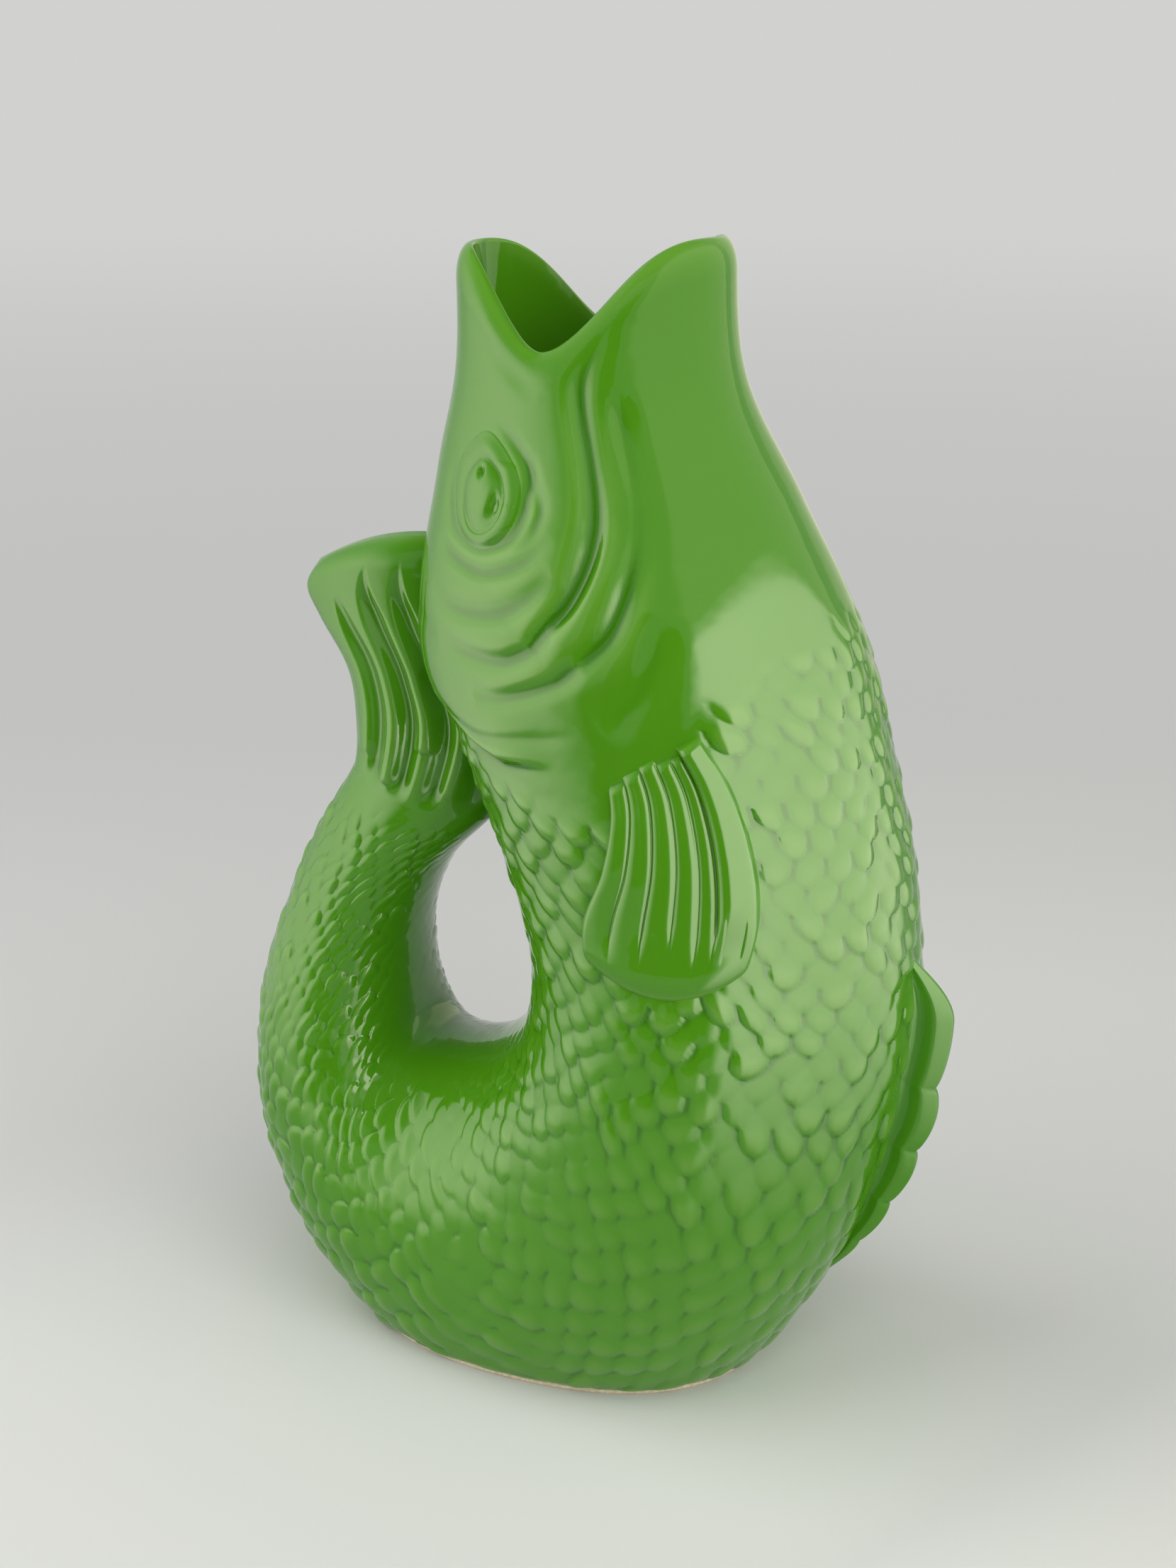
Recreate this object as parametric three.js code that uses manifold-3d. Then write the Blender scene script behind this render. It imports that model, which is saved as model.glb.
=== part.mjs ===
// Fish-shaped carafe in glazed earthenware: a hollow fish that stands on its curled belly, pours from
// its open mouth and is carried by its hollow tail, which curls up and meets the nape as a handle.
// The pieces are those a potter joins with slip: the head, trunk and base of the hollow body, the tail,
// the fins, the eyes and the bare clay foot.
//
// Millimetres, +Z up. The foot rests on Z = 0, X runs from the tail to the belly, and the fish is
// symmetric about the plane Y = 0.
import * as THREE from "three";
import { mergeVertices } from "three/addons/utils/BufferGeometryUtils.js";
import Module from "manifold-3d";

const wasm = await Module();
wasm.setup();

// Driving dimensions of the body
const HEIGHT = 312; // foot to the tip of the belly-side lip
const BELLY_REACH = 93.5; // from the middle of the part to the front of the belly, without its fin
const TAIL_REACH = 104.5; // from the middle of the part to the back of the tail
const BELLY_WIDTH = 116; // across the flanks, where the fish is widest
const MOUTH_WIDTH = 59; // across the corners of the mouth
const TAIL_WIDTH = 34; // across the root of the tail fin
const WALL = 5; // cast wall of the body and the tail
const FLOOR = 6; // clay between the foot and the hollow
const SLIP = 0.3; // layer of slip in every joint between two pieces
const SEAT = 2; // how deep a raised piece is let into the body before it is cut to fit
const EDGE = 0.8; // least thickness at the edge of a raised piece

// Mouth
const MOUTH_DEPTH = 27; // from the lip tips down to the corners of the mouth
const BACK_LIP_DROP = 4; // the back lip stands this much lower than the belly lip
const MOUTH_CORNER = -4.5; // X of the corners of the mouth
const LIP_SWEEP = 1.6; // how hollow the edge runs from corner to tip; 1 is a plain sine

// Foot
const FOOT_HEIGHT = 2;
const FOOT_WIDTH = 9;
const FOOT_SETBACK = 1; // bare clay steps back from the glazed edge

// Gill cover: its rear edge stands proud of the trunk
const GILL_STEP = 3;
const GILL_RUN = 26; // length over which the cover rises to its edge
const GILL_DROP = 7; // and over which it falls to the trunk behind it

// Eyes
const EYE_LENGTH = 34; // with the fold around the eyeball
const EYE_WIDTH = 27;
const EYE_RISE = 5;
const EYE_POINT = 0.34; // how much narrower the drop is drawn towards the mouth

// Fins
const PECTORAL_RISE = 5;
const PECTORAL_RIBS = 7;
const PECTORAL_GROOVE = 0.56; // depth of the grooves between the ribs, as a share of the rise
const PECTORAL_TAPER = 0.25; // how much lower the fin is along its back edge
const BELLY_FIN_HEIGHT = 11.5;
const BELLY_FIN_THICKNESS = 8;
const BELLY_FIN_LOBES = 4;
const BELLY_FIN_NOTCH = 0.16; // depth of the notches between the lobes, as a share of the height
const TAIL_FIN_RIBS = 5;
const TAIL_FIN_FLUTE = 0.24; // depth of the flutes as a share of the local half thickness
const TAIL_FIN_THICKNESS = 18; // where the free edge starts to round over
const TAIL_FIN_BOW = 4; // how far the free edge arches above its chord
const TAIL_FIN_ROOT = 9; // how deep the fin's inner edge is let into the nape before it is cut to fit

// Sections through the fish from the mouth to the root of the tail fin. Each is an oval: its centre,
// the tilt of its belly-to-back line, its depth along that line and its width across the fish.
const SECTIONS = [
  { x: -1.5, z: HEIGHT + 4, tilt: 0, depth: 75, width: MOUTH_WIDTH - 3 }, // above the lips
  { x: 0.5, z: HEIGHT - 33.5, tilt: -0.7, depth: 78, width: MOUTH_WIDTH }, // corner of the mouth
  { x: 6, z: HEIGHT - 64, tilt: -1.7, depth: 100, width: MOUTH_WIDTH + 13 }, // eyes
  { x: 12, z: HEIGHT - 99.5, tilt: 1.9, depth: 121, width: BELLY_WIDTH - 23 }, // cheeks
  { x: BELLY_REACH - 69.75, z: 178.75, tilt: -1.7, depth: 119.5, width: BELLY_WIDTH - 18 }, // gills
  { x: BELLY_REACH - 58.75, z: 143.5, tilt: -7, depth: 115.5, width: BELLY_WIDTH - 14 }, // shoulder
  { x: BELLY_REACH - 53.75, z: 108.5, tilt: -16, depth: 108.5, width: BELLY_WIDTH - 6 }, // belly
  { x: BELLY_REACH - 62, z: 70, tilt: -35.4, depth: 110.5, width: BELLY_WIDTH }, // widest
  { x: 8.5, z: 38.75, tilt: -55.2, depth: 117.5, width: BELLY_WIDTH - 4 }, // front of the foot
  { x: -28.25, z: 27.75, tilt: -78, depth: 108, width: BELLY_WIDTH - 14 }, // under the handle
  { x: 44.5 - TAIL_REACH, z: 40.75, tilt: -101, depth: 83, width: BELLY_WIDTH - 26 }, // back of the foot
  { x: 27.25 - TAIL_REACH, z: 67.5, tilt: -131, depth: 66.5, width: TAIL_WIDTH + 39 }, // heel of the tail
  { x: 25 - TAIL_REACH, z: 98.5, tilt: -150.3, depth: 56.5, width: TAIL_WIDTH + 24 }, // grip
  { x: 34.5 - TAIL_REACH, z: 128, tilt: -168.9, depth: 47, width: TAIL_WIDTH + 10 }, // upper grip
  { x: -52.75, z: 155, tilt: -195.8, depth: 44, width: TAIL_WIDTH }, // root of the tail fin
];
// Places along the fish, counted in sections from the first one
const HEAD_JOINT = 4.15; // where the head is luted to the trunk, behind the gill covers
const BASE_JOINT = 7.3; // where the trunk is luted to the base
const TAIL_JOINT = 10.5; // where the tail is luted to the base
const TAIL_HOLLOW_END = 13.2;
const TAIL_END = SECTIONS.length - 1;
const EYE_PLACE = { section: 2.05, around: 116 }; // degrees around the body from the belly line
const GILL_EDGE = [
  // section, degrees: the rear edge of the gill cover, from the pectoral fin to the nape
  [3.38, 74],
  [3.72, 106],
  [3.8, 122],
  [3.6, 150],
  [3.35, 180],
];
const PECTORAL_BELLY_EDGE = [
  // section, degrees: from the root of the fin to its tip
  [3.5, 60.5],
  [3.82, 56],
  [4.2, 53.7],
  [4.65, 54.8],
  [5.1, 60.5],
];
const PECTORAL_BACK_EDGE = [
  [3.9, 87],
  [4.2, 89],
  [4.6, 95.5],
  [5.0, 104.5],
  [5.36, 107.5],
];
const PECTORAL_TIP = 0.22; // how many sections the middle of the tip reaches beyond its corners
const BELLY_FIN_SPAN = [5.2, 7.15];
const TAIL_FIN_NAPE = [4.35, 3.9, 3.4, 2.95, 2.5]; // where the fin's rays meet the nape
const TAIL_FIN_EDGE = [
  // x, z: the outer edge of the tail fin, from the outer end of its root
  [0.3, 14],
  [-2.5, 27],
  [-11.5, 40.5],
  [-15.5, 49],
  [-11.5, 57],
];

// Facets
const BODY_COLUMNS = 36;
const HEAD_ROWS = 18;
const TRUNK_ROWS = 11;
const BASE_ROWS = 14;
const TAIL_ROWS = 12;
const FIN_ROWS = 12;
const LIP_STEPS = 4;
const EYE_COLUMNS = 28;
const BELLY_FIN_ROWS = 32;

const DEGREE = Math.PI / 180;

// The belly line, the back line and the half widths, as curves through the sections
const endOf = (s, sign) =>
  new THREE.Vector3(
    s.x + (sign * s.depth * Math.cos(s.tilt * DEGREE)) / 2,
    0,
    s.z + (sign * s.depth * Math.sin(s.tilt * DEGREE)) / 2,
  );
const through = (points) => new THREE.CatmullRomCurve3(points, false, "catmullrom", 0.5);
const bellyLine = through(SECTIONS.map((s) => endOf(s, 1)));
const backLine = through(SECTIONS.map((s) => endOf(s, -1)));
const halfWidths = through(SECTIONS.map((s) => new THREE.Vector3(s.width / 2, 0, 0)));

const clamp01 = (t) => Math.min(1, Math.max(0, t));
const smooth = (t) => clamp01(t) ** 2 * (3 - 2 * clamp01(t));
const mix = (a, b, t) => a + (b - a) * t;

// A point of the plain oval fish: section u, angle v from the belly line, and how far inside the skin.
function ovalPoint(u, v, inset = 0) {
  const t = u / TAIL_END;
  const belly = bellyLine.getPoint(t);
  const back = backLine.getPoint(t);
  const centre = belly.clone().add(back).multiplyScalar(0.5);
  const reach = belly.sub(back).multiplyScalar(0.5);
  reach.setLength(reach.length() - inset);
  const point = centre.addScaledVector(reach, Math.cos(v));
  point.y = (halfWidths.getPoint(t).x - inset) * Math.sin(v);
  return point;
}

// How fast the surface runs along the fish and around it, in mm per section and mm per radian.
function tangents(u, v) {
  const STEP = 0.01;
  const low = Math.max(0, u - STEP);
  const high = Math.min(TAIL_END, u + STEP);
  const along = ovalPoint(high, v).sub(ovalPoint(low, v)).divideScalar(high - low);
  const around = ovalPoint(u, v + STEP).sub(ovalPoint(u, v - STEP)).divideScalar(2 * STEP);
  return { along, around, outward: along.clone().cross(around).normalize() };
}

// Section number of the gill cover's rear edge at angle v, or null in front of the pectoral fin.
const gillCurve = through(GILL_EDGE.map(([section, angle]) => new THREE.Vector3(section, angle, 0)));
const gillTrace = gillCurve.getPoints(60);
const angleFromBelly = (v) => Math.abs(Math.atan2(Math.sin(v), Math.cos(v))) / DEGREE;
function gillEdge(v) {
  const angle = angleFromBelly(v);
  if (angle < gillTrace[0].y) return null;
  const next = gillTrace.findIndex((p) => p.y >= angle);
  if (next <= 0) return gillTrace.at(next).x;
  const [a, b] = [gillTrace[next - 1], gillTrace[next]];
  return mix(a.x, b.x, (angle - a.y) / (b.y - a.y));
}

// Height of the gill cover above the plain oval: a long rise that drops away at its rear edge.
function gillRelief(u, v) {
  const edge = gillEdge(v);
  if (edge === null) return 0;
  const past = (u - edge) * tangents(u, v).along.length();
  const fadeIn = smooth((angleFromBelly(v) - GILL_EDGE[0][1]) / (GILL_EDGE[1][1] - GILL_EDGE[0][1]));
  return GILL_STEP * fadeIn * (1 - smooth(past > 0 ? past / GILL_DROP : -past / GILL_RUN));
}

// A point of the outer skin, raised by the given height.
function skinPoint(u, v, height = 0) {
  return ovalPoint(u, v).addScaledVector(tangents(u, v).outward, gillRelief(u, v) + height);
}

// Plane across the fish at section u: its normal points towards the tail.
function sectionNormal(u) {
  const across = bellyLine.getPoint(u / TAIL_END).sub(backLine.getPoint(u / TAIL_END));
  return new THREE.Vector3(0, 1, 0).cross(across).normalize();
}

// Skins a row of rings, each with as many points, into one closed body. The ends are closed by fans,
// or the last ring is joined to the first.
function skin(rings, { loop = false } = {}) {
  const count = rings[0].length;
  const corners = rings.flat();
  const faces = [];
  const at = (ring, column) => (ring % rings.length) * count + (column % count);
  for (let ring = 0; ring < rings.length - (loop ? 0 : 1); ring++) {
    for (let column = 0; column < count; column++) {
      const [a, b] = [at(ring, column), at(ring + 1, column)];
      const [c, d] = [at(ring + 1, column + 1), at(ring, column + 1)];
      faces.push(a, b, c, a, c, d);
    }
  }
  if (!loop) {
    const middle = (ring) =>
      ring.reduce((sum, p) => sum.add(p), new THREE.Vector3()).divideScalar(count);
    const first = corners.push(middle(rings[0])) - 1;
    const last = corners.push(middle(rings.at(-1))) - 1;
    for (let column = 0; column < count; column++) {
      faces.push(first, at(0, column), at(0, column + 1));
      faces.push(at(rings.length - 1, column), last, at(rings.length - 1, column + 1));
    }
  }
  return new THREE.BufferGeometry().setFromPoints(corners).setIndex(faces);
}

// A geometry as a solid for joining and cutting, and back again.
function solidOf(geometry) {
  const bare = geometry.clone();
  bare.deleteAttribute("normal");
  bare.deleteAttribute("uv");
  const merged = mergeVertices(bare);
  const mesh = new wasm.Mesh({
    numProp: 3,
    vertProperties: merged.attributes.position.array,
    triVerts: new Uint32Array(merged.index.array),
  });
  return new wasm.Manifold(mesh);
}
function geometryOf(solid) {
  const { vertProperties, triVerts } = solid.getMesh();
  return new THREE.BufferGeometry()
    .setAttribute("position", new THREE.BufferAttribute(vertProperties, 3))
    .setIndex(new THREE.BufferAttribute(triVerts, 1));
}

const columnsOf = (count) =>
  Array.from({ length: count }, (_, column) => (2 * Math.PI * column) / count);
const stepsOf = (count) => Array.from({ length: count + 1 }, (_, step) => step / count);

// Height of the lip's outer edge above the foot, where the mouth's wall stands at x. The rounding of
// the lip rises half a wall above it.
function lipHeight(x) {
  const towardsBelly = x > MOUTH_CORNER;
  const tip = towardsBelly ? bellyLine.getPoint(0).x : backLine.getPoint(0).x;
  const share = clamp01((x - MOUTH_CORNER) / (tip - MOUTH_CORNER));
  const corner = HEIGHT - MOUTH_DEPTH - WALL / 2;
  const top = HEIGHT - WALL / 2 - (towardsBelly ? 0 : BACK_LIP_DROP);
  return mix(corner, top, Math.sin((share * Math.PI) / 2) ** LIP_SWEEP);
}

// Section number at which the column at angle v meets the lip, found by halving.
function lipSection(v) {
  let [above, below] = [0, 2];
  for (let halving = 0; halving < 30; halving++) {
    const u = (above + below) / 2;
    const point = ovalPoint(u, v);
    if (point.z > lipHeight(point.x)) above = u;
    else below = u;
  }
  return below;
}

// Half turns that round the lip from the hollow back to the skin.
function lipRounding(inner, outer) {
  return stepsOf(LIP_STEPS)
    .slice(1, -1)
    .map((step) =>
      inner.map((from, column) => {
        const middle = from.clone().add(outer[column]).multiplyScalar(0.5);
        const half = outer[column].clone().sub(from).multiplyScalar(0.5);
        const up = new THREE.Vector3(0, 0, half.length());
        return middle
          .addScaledVector(half, -Math.cos(step * Math.PI))
          .addScaledVector(up, Math.sin(step * Math.PI));
      }),
    );
}

// Rings of the skin from one section to another, raised by the given height. Each column may start
// at a section of its own, as the head's do at the lip.
const bodyAngles = columnsOf(BODY_COLUMNS);
const lipSections = bodyAngles.map(lipSection);
function skinRings(starts, end, rows, height = 0) {
  return stepsOf(rows).map((step) =>
    bodyAngles.map((v, column) => skinPoint(mix(starts[column], end, step), v, height)),
  );
}

// Rings of the hollow, from the end back to the start, with half as many rows as the skin.
function hollowRings(starts, end, rows) {
  const floorTop = FOOT_HEIGHT + SLIP + FLOOR;
  return stepsOf(Math.round(rows / 2)).map((step) =>
    bodyAngles.map((v, column) => {
      const point = ovalPoint(mix(end, starts[column], step), v, WALL);
      point.z = Math.max(point.z, floorTop);
      return point;
    }),
  );
}

// Moves the rings of a piece off the joint at its start by the slip, and less towards its end.
function offJoint(section, rings, shareOf) {
  const lift = sectionNormal(section).multiplyScalar(SLIP);
  rings.forEach((ring, row) => ring.forEach((point) => point.addScaledVector(lift, shareOf(row))));
  return rings;
}

// The three lengths of the body
const atSection = (section) => bodyAngles.map(() => section);
const headSpan = [lipSections, HEAD_JOINT, HEAD_ROWS];
const trunkSpan = [atSection(HEAD_JOINT), BASE_JOINT, TRUNK_ROWS];
const baseSpan = [atSection(BASE_JOINT), TAIL_JOINT, BASE_ROWS];

// Head: from the lips to behind the gill covers.
function headShell() {
  const outside = skinRings(...headSpan);
  const inside = hollowRings(...headSpan);
  return skin([...outside, ...inside, ...lipRounding(inside.at(-1), outside[0])], { loop: true });
}

// A length of the body that is open at both ends.
function openShell(span) {
  const [[start], , rows] = span;
  const outside = offJoint(start, skinRings(...span), (row) => 1 - row / rows);
  const inside = hollowRings(...span);
  offJoint(start, inside, (row) => row / (inside.length - 1));
  return skin([...outside, ...inside], { loop: true });
}

// Base: the curl of the body, cut flat where it stands on the foot.
function baseShell() {
  const BELOW = 4 * HEIGHT;
  const ground = new THREE.BoxGeometry(BELOW, BELOW, BELOW);
  ground.translate(0, 0, FOOT_HEIGHT + SLIP - BELOW / 2);
  return geometryOf(solidOf(openShell(baseSpan)).subtract(solidOf(ground)));
}

// A piece cut to fit the body: what lies inside the body, grown by the slip, is taken away.
const bodyRings = [headSpan, trunkSpan, baseSpan].map((span) => skinRings(...span, SLIP));
const bodyLump = solidOf(skin([...bodyRings[0], ...bodyRings[1].slice(1), ...bodyRings[2].slice(1)]));
function seated(geometry) {
  return geometryOf(solidOf(geometry).subtract(bodyLump));
}

// Outline of the oval fish in the horizontal plane z, as a flat shape: on each section that reaches
// the plane the angle is where the section's height equals z.
function footOutline(z, inset) {
  const STEPS = 160;
  const side = [];
  for (const step of stepsOf(STEPS)) {
    const u = mix(6, TAIL_JOINT, step);
    const belly = ovalPoint(u, 0, inset);
    const back = ovalPoint(u, Math.PI, inset);
    const cosine = (2 * z - belly.z - back.z) / (belly.z - back.z);
    if (Math.abs(cosine) >= 1) continue;
    const point = ovalPoint(u, Math.acos(cosine), inset);
    side.push(new THREE.Vector2(point.x, point.y));
  }
  const KEEP = 5; // every fifth point is enough for the foot's edge
  const kept = side.filter((_, index) => index % KEEP === 0 || index === side.length - 1);
  const mirrored = kept.map((p) => new THREE.Vector2(p.x, -p.y)).reverse();
  return [...kept, ...mirrored];
}

// Foot: a low ring of bare clay under the glazed body.
function footRing() {
  const z = FOOT_HEIGHT + SLIP;
  const shape = new THREE.Shape(footOutline(z, FOOT_SETBACK));
  shape.holes.push(new THREE.Path(footOutline(z, FOOT_SETBACK + FOOT_WIDTH)));
  return new THREE.ExtrudeGeometry(shape, { depth: FOOT_HEIGHT, bevelEnabled: false });
}

// Tail: a hollow horn that opens into the base, closed below the tail fin.
function tailHandle() {
  const ringAt = (u, inset) => bodyAngles.map((v) => ovalPoint(u, v, inset));
  const CLOSING = 4; // rings that round the blind end of the hollow
  const ROUND = 0.35; // length of that rounding, in sections
  const closed = halfWidths.getPoint(TAIL_HOLLOW_END / TAIL_END).x - WALL / 2;
  const dome = stepsOf(CLOSING)
    .slice(0, -1)
    .map((step) => {
      const u = TAIL_HOLLOW_END - ROUND * (1 - Math.cos((step * Math.PI) / 2));
      return ringAt(u, mix(closed, WALL, Math.sin((step * Math.PI) / 2)));
    });
  const tube = stepsOf(TAIL_ROWS / 2).map((step) => mix(TAIL_HOLLOW_END - ROUND, TAIL_JOINT, step));
  const inside = [...dome, ...tube.map((u) => ringAt(u, WALL))];
  const outside = stepsOf(TAIL_ROWS).map((step) => ringAt(mix(TAIL_JOINT, TAIL_END, step), 0));
  offJoint(TAIL_JOINT, inside, (row) => row / (inside.length - 1));
  offJoint(TAIL_JOINT, outside, (row) => 1 - row / TAIL_ROWS);
  return skin([...inside, ...outside]);
}

// Tail fin: a fluted fan that carries on from the tail and is let into the nape. Its rings run from
// the tail's end to the free edge, between an outer edge and an inner edge inside the nape.
function tailFin() {
  const root = { outer: bellyLine.getPoint(1), inner: backLine.getPoint(1) };
  const edgePoints = TAIL_FIN_EDGE.map(([x, z]) => new THREE.Vector3(x, 0, z).add(root.outer));
  const napePoints = TAIL_FIN_NAPE.map((section) => skinPoint(section, Math.PI, -TAIL_FIN_ROOT));
  const outerEdge = through([root.outer, ...edgePoints]);
  const innerEdge = through([root.inner, ...napePoints]);
  const lift = sectionNormal(TAIL_END).multiplyScalar(SLIP);
  const angles = columnsOf(2 * 4 * TAIL_FIN_RIBS);
  const rootHalf = halfWidths.getPoint(1).x;
  const ROUNDING = 0.16; // last share of the fin's length, over which the free edge closes
  const WAIST = 0.7; // share of the length at which the fin has thinned to its edge
  const FLUTE_START = 0.25; // shares of the length over which the flutes grow and run out
  const FLUTE_END = 0.2;
  const CLOSING_ROWS = [0.955, 0.985, 0.998];
  const rings = [...stepsOf(FIN_ROWS).slice(0, -1), ...CLOSING_ROWS].map((s) => {
    const outer = outerEdge.getPoint(s);
    const inner = innerEdge.getPoint(s);
    const centre = outer.clone().add(inner).multiplyScalar(0.5);
    const reach = outer.clone().sub(inner).multiplyScalar(0.5);
    const rise = new THREE.Vector3(0, 1, 0).cross(reach).normalize();
    const closing = Math.sqrt(1 - clamp01((s - 1 + ROUNDING) / ROUNDING) ** 2);
    const half = mix(rootHalf, TAIL_FIN_THICKNESS / 2, smooth(s / WAIST)) * closing;
    const flute = TAIL_FIN_FLUTE * smooth(s / FLUTE_START) * smooth((1 - s) / FLUTE_END);
    return angles.map((v) => {
      const across = (1 - Math.cos(v)) / 2;
      const ribs = 1 + flute * Math.cos(2 * Math.PI * TAIL_FIN_RIBS * across);
      const point = centre.clone().addScaledVector(reach, Math.cos(v));
      point.addScaledVector(rise, TAIL_FIN_BOW * s * Math.sin(v) ** 2);
      point.addScaledVector(lift, 1 - s);
      point.y = half * Math.sin(v) * ribs;
      return point;
    });
  });
  return seated(skin(rings));
}

// A raised piece that follows the skin: rows run along it, and each ring goes over its top from the
// belly side to the back side and returns underneath.
function raisedPiece(side, rows, columns, placeAt, heightAt) {
  const rings = rows.map((s) => {
    const top = columns.map((t) => {
      const [u, v] = placeAt(s, t);
      return skinPoint(u, side * v, EDGE + heightAt(s, t));
    });
    const under = columns
      .slice(1, -1)
      .reverse()
      .map((t) => {
        const [u, v] = placeAt(s, t);
        return skinPoint(u, side * v, -SEAT);
      });
    const ring = [...top, ...under];
    return side > 0 ? ring : ring.reverse();
  });
  return seated(skin(rings));
}

// Pectoral fin: a ribbed fan on the flank, thickest along its belly-side edge.
function pectoralFin(side) {
  const CORNERS = 0.1; // how far the two corners of the tip are rounded, as a share of the length
  const ROOT_ROUNDING = 0.1; // shares of the length over which the fin rises and falls
  const TIP_ROUNDING = 0.22;
  const SIDE_ROUNDING = 6; // the higher, the squarer the sides of the fin
  const curve = (points) => through(points.map(([section, angle]) => new THREE.Vector3(section, angle, 0)));
  const bellyEdge = curve(PECTORAL_BELLY_EDGE);
  const backEdge = curve(PECTORAL_BACK_EDGE);
  const placeAt = (s, t) => {
    const reach = s * (1 - CORNERS * (2 * t - 1) ** 4);
    const from = bellyEdge.getPoint(reach);
    const to = backEdge.getPoint(reach);
    const tip = PECTORAL_TIP * s ** 3 * 4 * t * (1 - t);
    return [mix(from.x, to.x, t) + tip, mix(from.y, to.y, t) * DEGREE];
  };
  const heightAt = (s, t) => {
    const edge = Math.sqrt(1 - Math.abs(2 * t - 1) ** SIDE_ROUNDING);
    const ribs = 1 - (PECTORAL_GROOVE / 2) * (1 - Math.cos(2 * Math.PI * PECTORAL_RIBS * t));
    const ends = Math.sqrt(smooth(s / ROOT_ROUNDING) * smooth((1 - s) / TIP_ROUNDING));
    return PECTORAL_RISE * edge * ribs * ends * (1 - PECTORAL_TAPER * t);
  };
  return raisedPiece(side, stepsOf(FIN_ROWS), stepsOf(4 * PECTORAL_RIBS), placeAt, heightAt);
}

// Eye: a teardrop boss, pointed towards the mouth, with the eyeball inside a round fold.
function eye(side) {
  const at = { u: EYE_PLACE.section, v: EYE_PLACE.around * DEGREE };
  const { along, around } = tangents(at.u, at.v);
  const ringHeights = [
    // share of the outline, height above the skin
    [0.12, EYE_RISE],
    [0.3, 0.92 * EYE_RISE],
    [0.5, 0.5 * EYE_RISE],
    [0.58, 0.36 * EYE_RISE],
    [0.7, 0.62 * EYE_RISE],
    [0.82, 0.6 * EYE_RISE],
    [1, EDGE],
    [1, -SEAT],
  ];
  const angles = columnsOf(EYE_COLUMNS);
  const rings = ringHeights.map(([share, height]) => {
    const ring = angles.map((turn) => {
      const point = 1 - EYE_POINT * clamp01(-Math.cos(turn)) ** 2;
      const down = (share * EYE_LENGTH * Math.cos(turn)) / 2;
      const across = (share * EYE_WIDTH * Math.sin(turn) * point) / 2;
      const u = at.u + down / along.length();
      const v = at.v + across / around.length();
      return skinPoint(u, side * v, height);
    });
    return side > 0 ? ring : ring.reverse();
  });
  return seated(skin(rings));
}

// Belly fin: a low scalloped crest along the belly line, with a bead along its free edge.
function bellyFin() {
  const WEB = 0.62; // thickness between root and bead, as a share of the bead's
  const START = 0.2; // shares of the length over which the fin rises and runs out
  const RUN_OUT = 0.55;
  const THIN_END = 0.45; // thickness at its two ends, as a share of the full thickness
  const rings = stepsOf(BELLY_FIN_ROWS).map((s) => {
    const u = mix(BELLY_FIN_SPAN[0], BELLY_FIN_SPAN[1], s);
    const envelope = Math.sqrt(smooth(s / START) * smooth((1 - s) / RUN_OUT));
    const lobe = Math.sqrt(Math.abs(Math.sin(Math.PI * BELLY_FIN_LOBES * s)));
    const scallop = 1 - BELLY_FIN_NOTCH * (1 - lobe);
    const height = mix(EDGE, BELLY_FIN_HEIGHT, envelope * scallop);
    const halfWidth = halfWidths.getPoint(u / TAIL_END).x;
    const half = (BELLY_FIN_THICKNESS / 2) * mix(THIN_END, 1, envelope);
    const outward = tangents(u, 0).outward;
    const profile = [
      // share of the height, share of the half thickness
      [0, -1],
      [0.25, -WEB],
      [0.6, -WEB],
      [0.82, -0.9],
      [0.97, -0.45],
      [1, 0],
      [0.97, 0.45],
      [0.82, 0.9],
      [0.6, WEB],
      [0.25, WEB],
      [0, 1],
    ];
    const seat = (y) => skinPoint(u, Math.asin(y / halfWidth), -SEAT);
    return profile.map(([rise, y]) => seat(y * half).addScaledVector(outward, mix(0, SEAT + height, rise)));
  });
  return seated(skin(rings));
}

// Finishes
const glaze = () => new THREE.MeshStandardMaterial({ color: 0x4f9a26, roughness: 0.12, metalness: 0 });
const bareClay = () => new THREE.MeshStandardMaterial({ color: 0xd9c8a2, roughness: 0.85, metalness: 0 });

function piece(name, geometry, material) {
  geometry.computeVertexNormals();
  const mesh = new THREE.Mesh(geometry, material);
  mesh.name = name;
  return mesh;
}

const carafe = new THREE.Group();
carafe.name = "fish_carafe";
carafe.add(
  piece("foot_ring", footRing(), bareClay()),
  piece("base_shell", baseShell(), glaze()),
  piece("trunk_shell", openShell(trunkSpan), glaze()),
  piece("head_shell", headShell(), glaze()),
  piece("tail_handle", tailHandle(), glaze()),
  piece("tail_fin", tailFin(), glaze()),
  piece("belly_fin", bellyFin(), glaze()),
);
for (const [hand, side] of [
  ["left", 1],
  ["right", -1],
]) {
  carafe.add(piece(`pectoral_fin_${hand}`, pectoralFin(side), glaze()));
  carafe.add(piece(`eye_${hand}`, eye(side), glaze()));
}

export default carafe;
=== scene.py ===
"""Fish carafe in green glazed earthenware: the finished surface of every piece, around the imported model.

Lengths are in millimetres until a mesh is made. The fish is an oval tube: u counts its sections from the
mouth (0) to the root of the tail fin (14), and v is the angle around it from the belly line, in radians.
The skin is that tube raised along its normal by the relief of its folds, gill covers and scales.
"""

import bpy
import numpy as np
from mathutils import Matrix, Vector


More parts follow.
